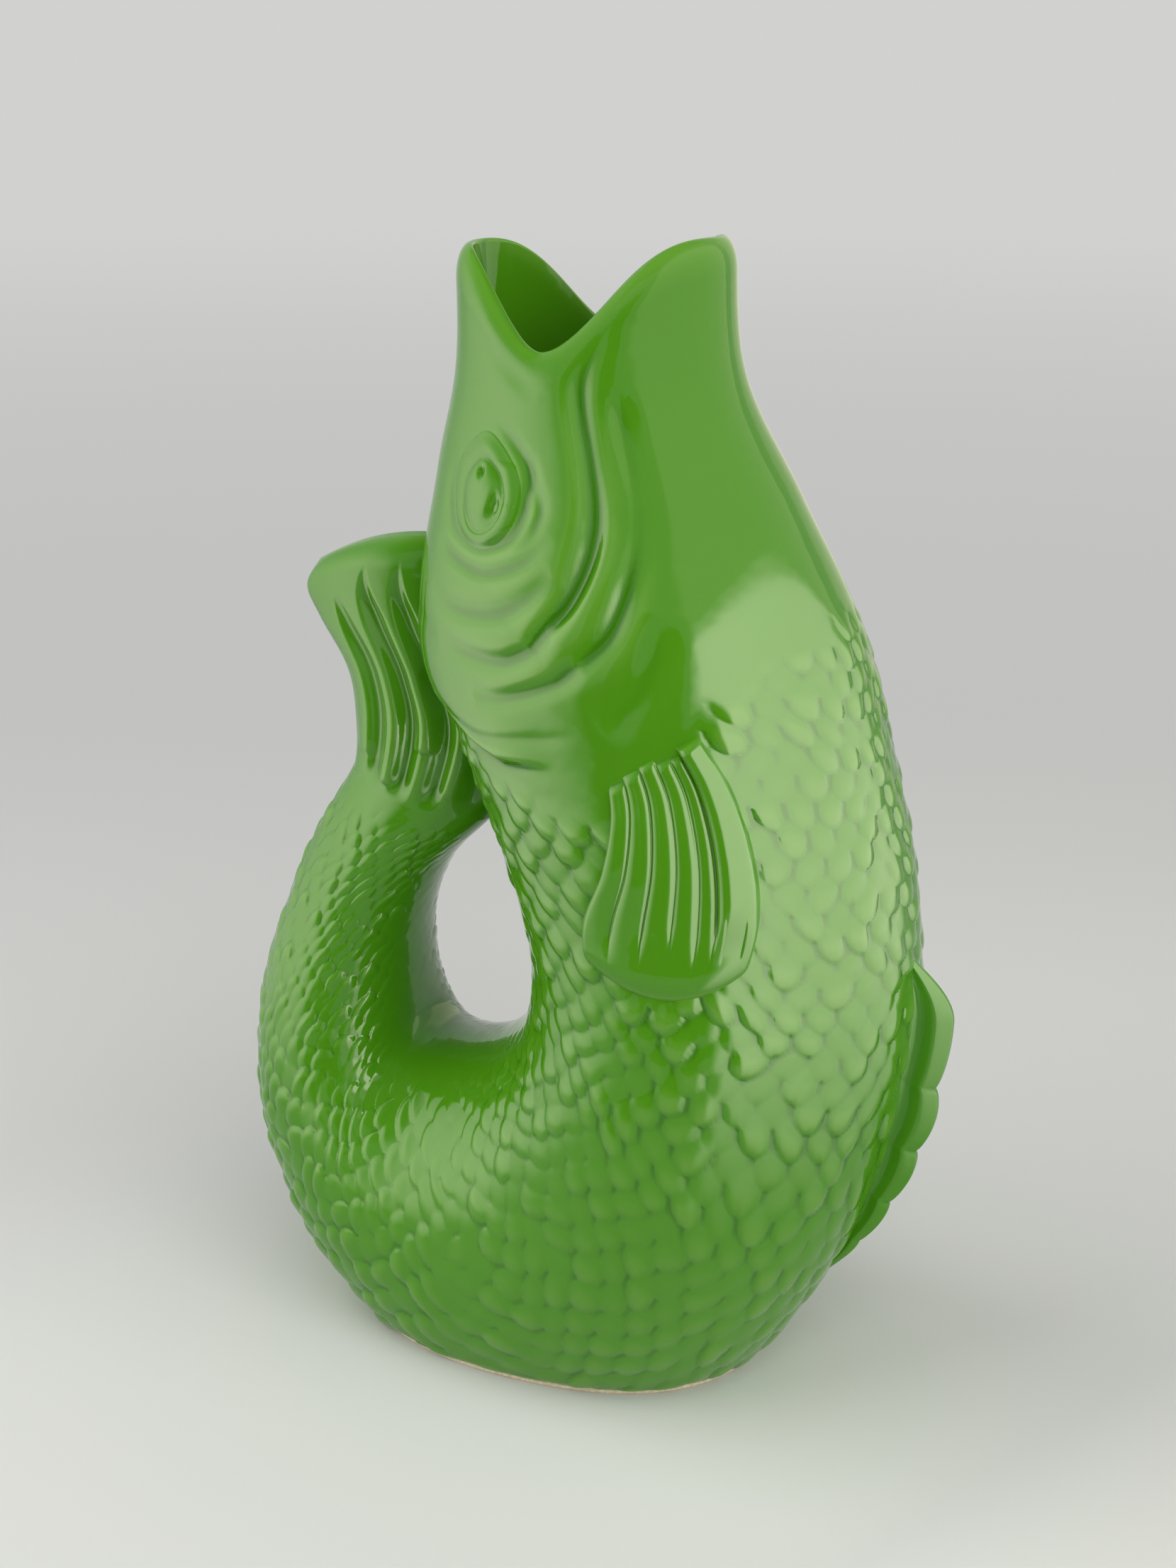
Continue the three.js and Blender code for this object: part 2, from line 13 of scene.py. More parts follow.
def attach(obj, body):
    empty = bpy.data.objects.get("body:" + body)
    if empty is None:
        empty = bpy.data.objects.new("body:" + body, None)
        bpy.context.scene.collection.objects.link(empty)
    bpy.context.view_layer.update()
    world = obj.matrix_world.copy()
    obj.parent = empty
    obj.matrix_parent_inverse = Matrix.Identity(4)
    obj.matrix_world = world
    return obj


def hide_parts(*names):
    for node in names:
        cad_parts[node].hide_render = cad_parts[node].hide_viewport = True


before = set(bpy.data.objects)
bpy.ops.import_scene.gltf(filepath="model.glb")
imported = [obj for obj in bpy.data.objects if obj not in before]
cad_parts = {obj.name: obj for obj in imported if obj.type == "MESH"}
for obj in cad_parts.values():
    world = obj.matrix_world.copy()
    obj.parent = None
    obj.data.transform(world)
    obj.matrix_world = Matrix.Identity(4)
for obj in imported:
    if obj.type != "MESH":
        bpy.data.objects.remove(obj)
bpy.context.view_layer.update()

MM = 0.001

# Sizes of the cast body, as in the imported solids
HEIGHT = 312
BELLY_REACH = 93.5
TAIL_REACH = 104.5
BELLY_WIDTH = 116
MOUTH_WIDTH = 59
TAIL_WIDTH = 34
WALL = 5
INSIDE_FLOOR = 8.3
HEAD_JOINT = 4.15
BASE_JOINT = 7.3
TAIL_JOINT = 10.5
TAIL_HOLLOW_END = 13.2
TAIL_DOME = 0.35  # sections over which the hollow closes there
TAIL_END = 14

# Sections from the mouth to the root of the tail fin: x, z of the middle, tilt of the belly-to-back line in
# degrees, depth along that line, width across
SECTIONS = np.array([
    (-1.5, HEIGHT + 4, 0, 75, MOUTH_WIDTH - 3),
    (0.5, HEIGHT - 33.5, -0.7, 78, MOUTH_WIDTH),
    (6, HEIGHT - 64, -1.7, 100, MOUTH_WIDTH + 13),
    (12, HEIGHT - 99.5, 1.9, 121, BELLY_WIDTH - 23),
    (BELLY_REACH - 69.75, 178.75, -1.7, 119.5, BELLY_WIDTH - 18),
    (BELLY_REACH - 58.75, 143.5, -7, 115.5, BELLY_WIDTH - 14),
    (BELLY_REACH - 53.75, 108.5, -16, 108.5, BELLY_WIDTH - 6),
    (BELLY_REACH - 62, 70, -35.4, 110.5, BELLY_WIDTH),
    (8.5, 38.75, -55.2, 117.5, BELLY_WIDTH - 4),
    (-28.25, 27.75, -78, 108, BELLY_WIDTH - 14),
    (44.5 - TAIL_REACH, 40.75, -101, 83, BELLY_WIDTH - 26),
    (27.25 - TAIL_REACH, 67.5, -131, 66.5, TAIL_WIDTH + 39),
    (25 - TAIL_REACH, 98.5, -150.3, 56.5, TAIL_WIDTH + 24),
    (34.5 - TAIL_REACH, 128, -168.9, 47, TAIL_WIDTH + 10),
    (-52.75, 155, -195.8, 44, TAIL_WIDTH),
])

# Mouth
MOUTH_DEPTH = 28
BACK_LIP_DROP = 4
MOUTH_CORNER = -4.5
LIP_SWEEP = 1.8  # how hollow the edge runs from corner to tip; 1 is a plain sine
LIP_ROLL = 9  # length over which the outside of the lip curves in
LIP_EDGE = 1.0  # radius of its inner edge
LIP_FIRST_ROWS = [0, 0.05, 0.2, 0.5]  # the closer rows along the edge, in rows of the head
LIP_EDGE_ROWS = 5

# Foot
GLAZE_END = 1.3  # height at which the glaze stops above the floor
GLAZE_BEND = 0.8  # how gently the skin turns level there
INSIDE_BEND = 1.5  # the same over the inside floor
FOOT_SETBACK = 0.3
FOOT_WIDTH = 9
FOOT_EDGE = 0.4  # bevel along its lower edges
FOOT_HIDDEN = 0.6  # height of clay behind the end of the glaze
FOOT_SEARCH = (6, TAIL_JOINT, 2000)  # sections between which the foot is looked for, and in how many steps

# Scales
SCALES_AROUND = 36  # on the body
SCALES_AROUND_TAIL = 26
SCALE_ROWS = 6  # in one section
SCALE_RISE = 0.16  # height of a scale as a share of the distance between rows
SCALE_MOST = 1.3  # and the most it may be
SCALE_CROWDED = 4.2  # rows closer than this, in mm, flatten out
SCALE_WORN = 0.85  # how much of their height the scales lose inside the loop of the handle
SCALE_ROUNDING = 0.5  # share of a row over which the free edge rounds off
SCALE_MELTED = 0.9  # the same on the flank and belly, where thick glaze leaves lumps
SCALE_CROWN = 0.5  # how much lower the sides of a scale lie than its middle
SCALE_EDGE = 0.75  # below 1, the free edge is steeper
SCALE_FLANK = 1.25  # factor on the height of the scales of the flank
SCALE_LOW_FRONT = 0.85  # on the low front
SCALE_BOLD = 1.4  # on base, tail and back
SCALE_UNLIKE = 0.55  # how much scales differ in height
SCATTER = (12.9898, 78.233, 437.585)  # factors without a common measure, which scatter those heights
SCALE_LINE = np.array([  # degrees, section: where the smooth head ends and the scales begin
    (0, 2.7), (20, 2.8), (40, 2.92), (55, 3.18), (70, 3.7), (85, 4.05), (108, 4.1),
    (123, 3.95), (135, 3.8), (150, 3.65), (180, 3.4),
])

# Waves in which rows wander and scales shift along a row: size in rows or scales, per radian, per section
ROW_WAVES = [(0.2, 2, 1.3), (0.14, 5, -2.1), (0.1, 9, 3.7)]
SHIFT_WAVES = [(0.16, 3, 1.9), (0.12, 0, 4.3), (0.1, -4, 9.1)]

# Where the scales change: start in sections or degrees, and how far the change takes
SCALES_END = (13.6, 0.35)
SCALES_BEGIN = 0.35  # from the scale line on
HEEL_BOLD = (8.2, 1.8)
HEEL_FADES = (10.4, 1.4)
HEEL_LOSS = 0.6  # share of the heel's boldness that the tail lacks
BACK_BOLD = (90, 40)
BACK_SHARE = 0.6  # boldness of the back, where the heel's is 1
LOW_FRONT = (5.6, 1.6)
TAIL_SCALES = (8.3, 0.7)
LOOP_ALONG = (5.5, 1.5)
LOOP_AROUND = (142, 26)

# Gill cover: its rear edge stands proud of the trunk
GILL_STEP = 2.4
GILL_RUN = 24
GILL_DROP = 3.0
GILL_FROM = 100  # degrees at which the edge starts to stand out, and how many it takes to its full height
GILL_GROWS = 22
GILL_LINE = np.array([  # degrees, section
    (60, 3.1), (73, 3.4), (90, 3.6), (103, 3.84), (119, 3.89),
    (129, 3.82), (142, 3.65), (160, 3.5), (180, 3.35),
])

# Facets
COLUMNS_PER_SCALE = 11
COLUMNS = SCALES_AROUND * COLUMNS_PER_SCALE
ROWS_PER_SECTION = 60
HEAD_ROWS = 46  # the same, on the head
INSIDE_ROWS = 8  # in one section of the hollow
GHOST_ROWS = 20  # rows beyond a joint, so that both sides of it are smoothed alike
TAIL_DOME_ROWS = 4
PECTORAL_GRID = (110, 145)
EYE_GRID = (110, 160)
TAIL_FIN_GRID = (110, 29, 320)  # its length, its rounded edge, and around it
BELLY_FIN_GRID = (200, 61)
FOOT_STEPS = 300
HALVINGS = 30  # in the search for the edge of the lip
POOL_BLUR = 10  # how often the body is blurred to find its hollows


def smooth(t):
    """Eases from 0 to 1 while t goes from 0 to 1."""
    t = np.clip(t, 0, 1)
    return t * t * (3 - 2 * t)


def onset(x, start, run):
    """Eases from 0 to 1 while x goes from a start over a run."""
    return smooth((x - start) / run)


def mix(a, b, t):
    return a + (b - a) * t


def unit(vectors):
    return vectors / np.linalg.norm(vectors, axis=-1, keepdims=True)


def spline(points, t):
    """Catmull-Rom curve through the points, at t counted in points; the ends run on straight."""
    points = np.asarray(points, float)
    t = np.asarray(t, float)
    run = np.vstack([2 * points[0] - points[1], points, 2 * points[-1] - points[-2]])
    start = np.clip(np.floor(t).astype(int), 0, len(points) - 2)
    f = (t - start)[..., None]
    a, b, c, d = (run[start + k] for k in range(4))
    return (2 * b + (c - a) * f + (2 * a - 5 * b + 4 * c - d) * f**2 + (3 * b - a - 3 * c + d) * f**3) / 2


def rails():
    """Belly line, back line and half width of every section, one row each."""
    x, z, tilt, depth, width = SECTIONS.T
    reach_x = depth * np.cos(np.radians(tilt)) / 2
    reach_z = depth * np.sin(np.radians(tilt)) / 2
    return np.column_stack([x + reach_x, z + reach_z, x - reach_x, z - reach_z, width / 2])


RAILS = rails()


def oval(u, v, inset=0.0):
    """Plain tube: the middle of belly and back line, plus cos v of their half distance and sin v of the half
    width. An inset makes every section smaller by that much all round."""
    u, v, inset = np.broadcast_arrays(u, v, inset)
    rail = spline(RAILS, u)
    belly, back, half = rail[..., 0:2], rail[..., 2:4], rail[..., 4]
    reach = (belly - back) / 2
    reach = reach * (1 - inset / np.linalg.norm(reach, axis=-1))[..., None]
    flat = (belly + back) / 2 + reach * np.cos(v)[..., None]
    return np.stack([flat[..., 0], (half - inset) * np.sin(v), flat[..., 1]], axis=-1)


def oval_tangents(u, v):
    """How the tube runs along the fish, in mm per section, and around it, in mm per radian, and its outward
    normal, which is the cross product of the two."""
    step = 0.01
    along = (oval(u + step, v) - oval(u - step, v)) / (2 * step)
    around = (oval(u, v + step) - oval(u, v - step)) / (2 * step)
    return along, around, unit(np.cross(along, around))


def from_belly(v):
    """Angle from the belly line on either side, 0 to pi."""
    return np.arccos(np.clip(np.cos(v), -1, 1))


# Folds of the face, on one side; the other is its mirror image. Each runs along a path of (section, degrees,
# height in mm), below 0 for a groove. A fold with a run is a step: it stands up on its left, seen along the
# path, or on its right where the run is below 0, and sinks back to the skin over that run.
FOLDS = [
    # the mask of the face, whose edge rolls over beside the mouth
    dict(path=[
        (0.6, 63, 0), (0.8, 74, 0.5), (0.95, 80.5, 1.1), (1.1, 83, 1.8), (1.34, 82.4, 2.1),
        (1.6, 81.6, 2.2), (2.0, 82.6, 2.2), (2.2, 84.8, 2.1), (2.4, 87.6, 1.9), (2.6, 91, 1.4),
        (2.8, 95, 0.7), (2.95, 99, 0)
    ], width=2.6, run=22),
    # the edge of the jaw, and the valley between the two
    dict(path=[
        (0.57, 60.6, 0), (0.75, 68, 0.6), (0.97, 74, 1.0), (1.2, 76, 1.1), (1.5, 76.2, 1.1),
        (2.0, 76, 1.2), (2.24, 77.2, 1.4), (2.47, 80.4, 1.6), (2.69, 85.4, 1.6), (2.84, 91.5, 1.0),
        (2.97, 98, 0)
    ], width=1.5, run=-9),
    dict(path=[
        (0.57, 61.5, 0), (0.75, 69.3, -0.4), (0.97, 75.8, -0.6), (1.2, 78, -0.7), (1.75, 77.8, -0.7),
        (2.0, 78.2, -0.9), (2.24, 79.8, -1.3), (2.47, 83.2, -1.8), (2.69, 88.2, -2.0),
        (2.84, 94, -1.3), (2.97, 100, 0)
    ], width=3),
    # a second valley behind the jaw, the fold below it and the hollow of the lower jaw
    dict(path=[
        (1.05, 65, 0), (1.3, 64.7, -0.8), (1.61, 64.8, -0.7), (1.93, 65.3, -0.5), (2.22, 67.1, -0.6),
        (2.48, 70.4, -1.1), (2.7, 74, -1.6), (2.86, 77.6, -1.6), (3.0, 83, -1.2), (3.11, 88.5, -0.6),
        (3.2, 94, 0)
    ], width=3.4),
    dict(path=[
        (2.3, 64.5, 0), (2.5, 68, 0.4), (2.7, 71.5, 0.8), (2.88, 75.5, 0.8), (3.02, 80.5, 0.6),
        (3.14, 87, 0.3), (3.22, 93, 0)
    ], width=1.8, run=-8),
    dict(path=[
        (2.7, 63, 0), (2.95, 66, -0.8), (3.2, 71.5, -0.9), (3.4, 78.5, -0.7), (3.52, 85, 0)
    ], width=5),
    # crease under the corner of the mouth
    dict(path=[
        (0.57, 134.9, 0), (0.78, 123.9, -0.3), (0.91, 113.2, -0.5), (1.04, 102.9, -0.6),
        (1.14, 94, 0)
    ], width=3),
    # rings around the eye
    dict(path=[
        (1.38, 114, 0), (1.54, 105.9, -0.6), (1.7, 100.6, -0.8), (1.86, 99.1, -0.8),
        (2.08, 100.6, -0.8), (2.23, 103.4, -0.8), (2.32, 107.9, -0.8), (2.38, 115.7, -0.7),
        (2.36, 123.4, -0.6), (2.27, 131.7, -0.5), (2.09, 135.7, -0.3), (1.83, 135, 0)
    ], width=1.8),
    dict(path=[
        (1.6, 99, 0), (1.8, 97.9, -0.5), (2.03, 95.1, -0.6), (2.18, 96.6, -0.6), (2.29, 99.9, -0.3),
        (2.36, 104, 0)
    ], width=1.8),
    dict(path=[
        (2.4, 138, 0), (2.47, 129.7, -0.6), (2.52, 120.4, -0.8), (2.53, 113.2, -0.8),
        (2.48, 104.9, -0.8), (2.4, 98.4, -0.6), (2.26, 91.1, 0)
    ], width=2.2),
    # rolls of the cheek, from the nape down and up again to the jaw
    dict(path=[
        (2.72, 139.7, 0), (2.8, 126.7, -0.9), (2.81, 117.4, -1.2), (2.78, 108.7, -1.2),
        (2.69, 100.9, -1.1), (2.57, 93.9, -0.8), (2.5, 90, 0)
    ], width=3.2),
    dict(path=[
        (3.05, 133.2, 0), (3.11, 122.9, -1.0), (3.12, 109.9, -1.4), (3.04, 101.6, -1.4),
        (2.94, 96.1, -0.8), (2.85, 92, 0)
    ], width=3.0),
    dict(path=[
        (3.46, 122, 0), (3.43, 117.4, -0.6), (3.4, 110.7, -0.9), (3.28, 98.6, -1.1),
        (3.17, 90.9, -1.0), (3.08, 86, 0)
    ], width=2.8),
    # line of the gill cover
    dict(path=[
        (3.5, 150, 0), (3.63, 141.9, -0.4), (3.77, 125.7, -0.5), (3.69, 105.6, -0.3), (3.59, 90.6, 0)
    ], width=1.8),
]
FOLD_SAMPLES = 240
FOLD_ENDS = 3  # distance in mm over which a step dies out beyond the ends of its path
FOLDS_END = 4.3  # no fold reaches beyond this section


def fold_relief(u, v):
    """Sum over the folds. A fold is a bell in the distance to its path, measured on the plain tube. A step is
    a logistic rise across the path that sinks back as an exponential."""
    u, v = np.broadcast_arrays(u, v)
    spots = oval(u, from_belly(v)).reshape(-1, 3)
    relief = np.zeros(len(spots))
    for fold in FOLDS:
        path = spline(fold["path"], np.linspace(0, len(fold["path"]) - 1, FOLD_SAMPLES))
        line = oval(path[:, 0], np.radians(path[:, 1]))
        squares = (spots**2).sum(1)[:, None] + (line**2).sum(1) - 2 * spots @ line.T
        nearest = squares.argmin(1)
        away = spots - line[nearest]
        square = (away**2).sum(1)
        if "run" in fold:
            normal = oval_tangents(path[:, 0], np.radians(path[:, 1]))[2]
            left = unit(np.cross(normal, np.gradient(line, axis=0)))
            side = (away * left[nearest]).sum(1) * np.sign(fold["run"])
            shape = np.exp(-np.maximum(side, 0) / abs(fold["run"])) / (1 + np.exp(-side / fold["width"] * 2))
            shape = shape * np.exp(-((square - side**2) / FOLD_ENDS**2))
        else:
            shape = np.exp(-square / fold["width"] ** 2)
        relief += path[nearest, 2] * shape
    return relief.reshape(np.shape(u))


def gill_relief(u, v, along):
    """The gill cover rises slowly to its rear edge and drops to the trunk there."""
    degrees = np.degrees(from_belly(v))
    past = (u - np.interp(degrees, *GILL_LINE.T)) * along
    grows = onset(degrees, GILL_FROM, GILL_GROWS)
    return GILL_STEP * grows * (1 - smooth(np.where(past > 0, past / GILL_DROP, -past / GILL_RUN)))


def wander(waves, u, v):
    """Sum of sine waves over the skin."""
    return sum(size * np.sin(around * v + along * u) for size, around, along in waves)


def unlike(row, column):
    """A height factor for one scale, scattered about 1 by a fixed rule: the fraction of a large sine."""
    by_row, by_column, size = SCATTER
    turn = np.sin(by_row * row + by_column * column) * size
    return 1 + SCALE_UNLIKE * 2 * (turn - np.floor(turn) - 0.5)


def scales(u, v, count, rounding):
    """Height of overlapping scales, a given count in every row and each row staggered by half a scale. Along
    a row the free edge is a line of half ellipses, towards the tail. A scale rises from under the row before
    it to its free edge, is highest in its middle, and rounds off to the scale behind it."""
    p = SCALE_ROWS * u + wander(ROW_WAVES, u, v)
    q = count * v / (2 * np.pi) + wander(SHIFT_WAVES, u, v)
    row = np.floor(p)
    f = p - row
    over = q + 0.5 * (row % 2)
    under = q + 0.5 * ((row + 1) % 2)
    w = over - np.round(over)
    behind = under - np.round(under)
    edge = np.sqrt(np.maximum(0, 1 - (2 * w) ** 2))
    upper = (f + 1) / 2 * (1 - SCALE_CROWN * (2 * w) ** 2) * unlike(row, np.round(over) % count)
    lower = f / 2 * (1 - SCALE_CROWN * (2 * behind) ** 2) * unlike(row + 1, np.round(under) % count)
    inside = np.clip((edge - f) / rounding, 0, 1)
    return mix(lower, upper, (inside * (2 - inside)) ** SCALE_EDGE)


def scale_relief(u, v, along):
    """Scales from the end of the head to the tail fin, in the size and boldness of each part of the body. The
    rows of the body go over into the wider scales of the tail under the curl."""
    degrees = np.degrees(from_belly(v))
    heel = onset(u, *HEEL_BOLD) * (1 - HEEL_LOSS * onset(u, *HEEL_FADES))
    bold = np.maximum(heel, BACK_SHARE * onset(degrees, *BACK_BOLD))
    soft = mix(SCALE_FLANK, SCALE_LOW_FRONT, onset(u, *LOW_FRONT))
    inside_loop = onset(degrees, *LOOP_AROUND) * onset(u, *LOOP_ALONG)
    begins = onset(u, np.interp(degrees, *SCALE_LINE.T), SCALES_BEGIN)
    ends = 1 - onset(u, *SCALES_END)
    pitch = along / SCALE_ROWS
    rise = np.minimum(SCALE_RISE * pitch, SCALE_MOST) * smooth(pitch / SCALE_CROWDED)
    rise = rise * mix(soft, SCALE_BOLD, bold) * (1 - SCALE_WORN * inside_loop) * begins * ends
    rounding = mix(SCALE_MELTED, SCALE_ROUNDING, bold)
    body = scales(u, v, SCALES_AROUND, rounding)
    tail = scales(u, v, SCALES_AROUND_TAIL, rounding)
    return rise * mix(body, tail, onset(u, *TAIL_SCALES))


def soft_floor(z, floor, rounding):
    """Keeps z above a floor, with a rounded bend: floor plus the softplus of the height above it."""
    return floor + rounding * np.logaddexp(0, (z - floor) / rounding)


def skin(u, v):
    """Outer skin: the plain tube raised along its normal by gill covers, folds and scales."""
    along, _, normal = oval_tangents(u, v)
    length = np.linalg.norm(along, axis=-1)
    relief = gill_relief(u, v, length) + scale_relief(u, v, length)
    face = u[:, 0] < FOLDS_END if u.ndim == 2 else np.ones(len(u), bool)
    relief[face] += fold_relief(u[face], v[face])
    points = oval(u, v) + normal * relief[..., None]
    points[..., 2] = soft_floor(points[..., 2], GLAZE_END, GLAZE_BEND)
    return points


def on_skin(u, v, height):
    """A point over the skin without its scales, for the pieces luted to it."""
    along, _, normal = oval_tangents(u, v)
    relief = gill_relief(u, v, np.linalg.norm(along, axis=-1)) + fold_relief(u, v)
    return oval(u, v) + normal * (relief + height)[..., None]


def grid_normals(rings):
    """Cross product of the differences along and around a grid that is closed around."""
    along = np.gradient(rings, axis=0)
    around = np.roll(rings, -1, axis=1) - np.roll(rings, 1, axis=1)
    cross = np.cross(along, around)
    return cross / np.maximum(np.linalg.norm(cross, axis=-1, keepdims=True), 1e-9)


def hollowness(rings, normals, passes):
    """How far a grid lies below its own blurred copy, in mm: above 0 in hollows, where glaze gathers."""
    blurred = rings
    for _ in range(passes):
        blurred = (np.roll(blurred, 1, axis=1) + 2 * blurred + np.roll(blurred, -1, axis=1)) / 4
        ends = np.concatenate([blurred[:1], blurred, blurred[-1:]])
        blurred = (ends[:-2] + 2 * blurred + ends[2:]) / 4
    return ((blurred - rings) * normals).sum(-1)


# Meshes


def ring_faces(rows, columns, loop):
    """Quads of a grid closed around, and closed end to end where loop is set, or by two fans of triangles."""
    row = np.arange(rows if loop else rows - 1)[:, None]
    column = np.arange(columns)
    beside = (column + 1) % columns
    ahead = (row + 1) % rows
    here, there = row * columns, ahead * columns
    corners = [here + column, there + column, there + beside, here + beside]
    quads = np.stack(corners, axis=-1).reshape(-1, 4)
    if loop:
        return quads, np.empty((0, 3), int)
    first, last = rows * columns, rows * columns + 1
    final = (rows - 1) * columns
    start = np.column_stack([np.full(columns, first), column, beside])
    end = np.column_stack([final + column, np.full(columns, last), final + beside])
    return quads, np.vstack([start, end])


def add_object(name, data):
    made = bpy.data.objects.new(name, data)
    bpy.context.scene.collection.objects.link(made)
    return made


def make_piece(name, rings, node, loop=False, normals=None, pool=None, passes=8, slot="green_glaze"):
    """A closed mesh from rings of points in mm. It rides on the carafe and stands for the named solid. The
    attribute pool says how far each point lies in a hollow."""
    rows, columns, _ = rings.shape
    quads, fans = ring_faces(rows, columns, loop)
    points = rings.reshape(-1, 3)
    if pool is None:
        pool = hollowness(rings, grid_normals(rings), passes)
    pool = pool.ravel()
    if not loop:
        points = np.vstack([points, rings[0].mean(0), rings[-1].mean(0)])
        pool = np.concatenate([pool, [0, 0]])
    mesh = bpy.data.meshes.new(name)
    mesh.vertices.add(len(points))
    mesh.vertices.foreach_set("co", (points * MM).ravel())
    mesh.loops.add(quads.size + fans.size)
    mesh.loops.foreach_set("vertex_index", np.concatenate([quads.ravel(), fans.ravel()]).astype(np.int32))
    mesh.polygons.add(len(quads) + len(fans))
    starts = np.concatenate([4 * np.arange(len(quads)), quads.size + 3 * np.arange(len(fans))])
    mesh.polygons.foreach_set("loop_start", starts.astype(np.int32))
    mesh.update(calc_edges=True)
    mesh.validate()
    mesh.shade_smooth()
    mesh.attributes.new("pool", "FLOAT", "POINT").data.foreach_set("value", pool.astype(np.float32))
    if normals is not None:
        if not loop:
            flat = normals.reshape(-1, 3)
            normals = np.vstack([flat, normals[0].mean(0), normals[-1].mean(0)])
        mesh.normals_split_custom_set_from_vertices(normals.reshape(-1, 3))
    mesh.materials.append(FINISHES[slot])
    piece = add_object(name, mesh)
    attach(piece, "root")
    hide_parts(node)


# Materials


class Value:
    """A number that varies over a surface, held by a socket. Arithmetic on it adds Math nodes."""

    def __init__(self, graph, socket):
        self.graph = graph
        self.socket = socket

    def _math(self, operation, *operands):
        return self.graph.value("ShaderNodeMath", dict(operation=operation), dict(enumerate(operands)))

    def __add__(self, other):
        return self._math("ADD", self, other)

    def __sub__(self, other):
        return self._math("SUBTRACT", self, other)

    def __rsub__(self, other):
        return self._math("SUBTRACT", other, self)

    def __mul__(self, other):
        return self._math("MULTIPLY", self, other)

    def most(self, other):
        return self._math("MAXIMUM", self, other)

    def within(self, low, high):
        """Eases from 0 at low to 1 at high."""
        settings = dict(interpolation_type="SMOOTHSTEP")
        inputs = {"Value": self, "From Min": low, "From Max": high}
        return self.graph.value("ShaderNodeMapRange", settings, inputs)

    __radd__ = __add__
    __rmul__ = __mul__


class Graph:
    """The node tree of a material or of the world."""

    def __init__(self, tree):
        self.tree = tree
        tree.nodes.clear()

    def node(self, kind, settings=None, inputs=None):
        """Any node: its type, its settings, and the values or links of its sockets."""
        made = self.tree.nodes.new(kind)
        for name, setting in (settings or {}).items():
            setattr(made, name, setting)
        for key, given in (inputs or {}).items():
            socket = made.inputs[key]
            if isinstance(given, Value):
                self.tree.links.new(given.socket, socket)
            elif isinstance(given, bpy.types.NodeSocket):
                self.tree.links.new(given, socket)
            else:
                socket.default_value = given
        return made

    def value(self, kind, settings=None, inputs=None, output=0):
        return Value(self, self.node(kind, settings, inputs).outputs[output])

    def blend(self, factor, a, b):
        """One colour into another."""
        inputs = {"Factor": factor, 6: a, 7: b}
        return self.node("ShaderNodeMix", dict(data_type="RGBA"), inputs).outputs[2]

    def noise(self, coordinates, scale, detail=3.0):
        inputs = {"Vector": coordinates, "Scale": scale, "Detail": detail}
        return self.value("ShaderNodeTexNoise", None, inputs)

    def surface(self, inputs, bump):
        """A principled surface with a bump, as the material's output."""
        normal = self.node("ShaderNodeBump", None, bump).outputs["Normal"]
        shader = self.node("ShaderNodeBsdfPrincipled", None, {**inputs, "Normal": normal})
        self.node("ShaderNodeOutputMaterial", None, {"Surface": shader.outputs["BSDF"]})

    def covered(self, cover, below, above):
        """One shader over another, as far as it covers it, as the material's output."""
        both = self.node("ShaderNodeMixShader", None, {0: cover, 1: below.outputs[0], 2: above.outputs[0]})
        self.node("ShaderNodeOutputMaterial", None, {"Surface": both.outputs["Shader"]})


def new_material(name):
    material = bpy.data.materials.new(name)
    material.use_nodes = True
    return material, Graph(material.node_tree)


GLAZE = (0.066, 0.245, 0.006, 1)
GLAZE_DEEP = (0.018, 0.115, 0.002, 1)  # where it gathers
GLAZE_THIN = (0.155, 0.345, 0.045, 1)  # where it draws back from an edge
GLAZE_CLOUD = (0.085, 0.29, 0.02, 1)  # in faint clouds all over
POOL_DEPTH = (0.0, 0.25)  # depth of a hollow, in mm, over which the glaze gathers
POOL_SHARE = 0.6  # how far it turns to the deep green there
EDGE_HEIGHT = (0.03, 0.3)  # height of an edge, in mm, over which it draws back
EDGE_SHARE = 0.45
CLOUDS = 14  # in a metre
WAVES = 160
CLAY_DARK = (0.64, 0.53, 0.36, 1)
CLAY_PALE = (0.8, 0.7, 0.53, 1)


def green_glaze():
    """Bright green glaze: deeper in hollows, thinner and yellower on edges, with faint clouds and waves."""
    material, graph = new_material("green_glaze")
    place = graph.node("ShaderNodeTexCoord").outputs["Object"]
    pool = graph.value("ShaderNodeAttribute", dict(attribute_name="pool"), output="Fac")
    cloud = graph.noise(place, CLOUDS)
    deep = pool.within(*POOL_DEPTH) * POOL_SHARE
    thin = (0 - pool).within(*EDGE_HEIGHT) * EDGE_SHARE
    colour = graph.blend(deep, GLAZE, GLAZE_DEEP)
    colour = graph.blend(thin, colour, GLAZE_THIN)
    colour = graph.blend((cloud - 0.35) * 0.25, colour, GLAZE_CLOUD)
    wave = graph.noise(place, WAVES, 1.0)
    graph.surface({
        "Base Color": colour,
        "Roughness": 0.03 + graph.noise(place, 40) * 0.04,
        "IOR": 1.5,
        "Specular IOR Level": 0.4,
    }, {"Strength": 0.12, "Distance": 0.0006, "Height": wave})
    return material


def bare_clay():
    """Unglazed buff clay of the foot, speckled and rough."""
    material, graph = new_material("bare_clay")
    place = graph.node("ShaderNodeTexCoord").outputs["Object"]
    grain = graph.noise(place, 900)
    colour = graph.blend(grain.within(0.35, 0.7), CLAY_DARK, CLAY_PALE)
    bump = {"Strength": 0.4, "Distance": 0.0004, "Height": grain}
    graph.surface({"Base Color": colour, "Roughness": 0.75 + grain * 0.2}, bump)
    return material


FINISHES = {"green_glaze": green_glaze(), "bare_clay": bare_clay()}

# The cast body in four lengths

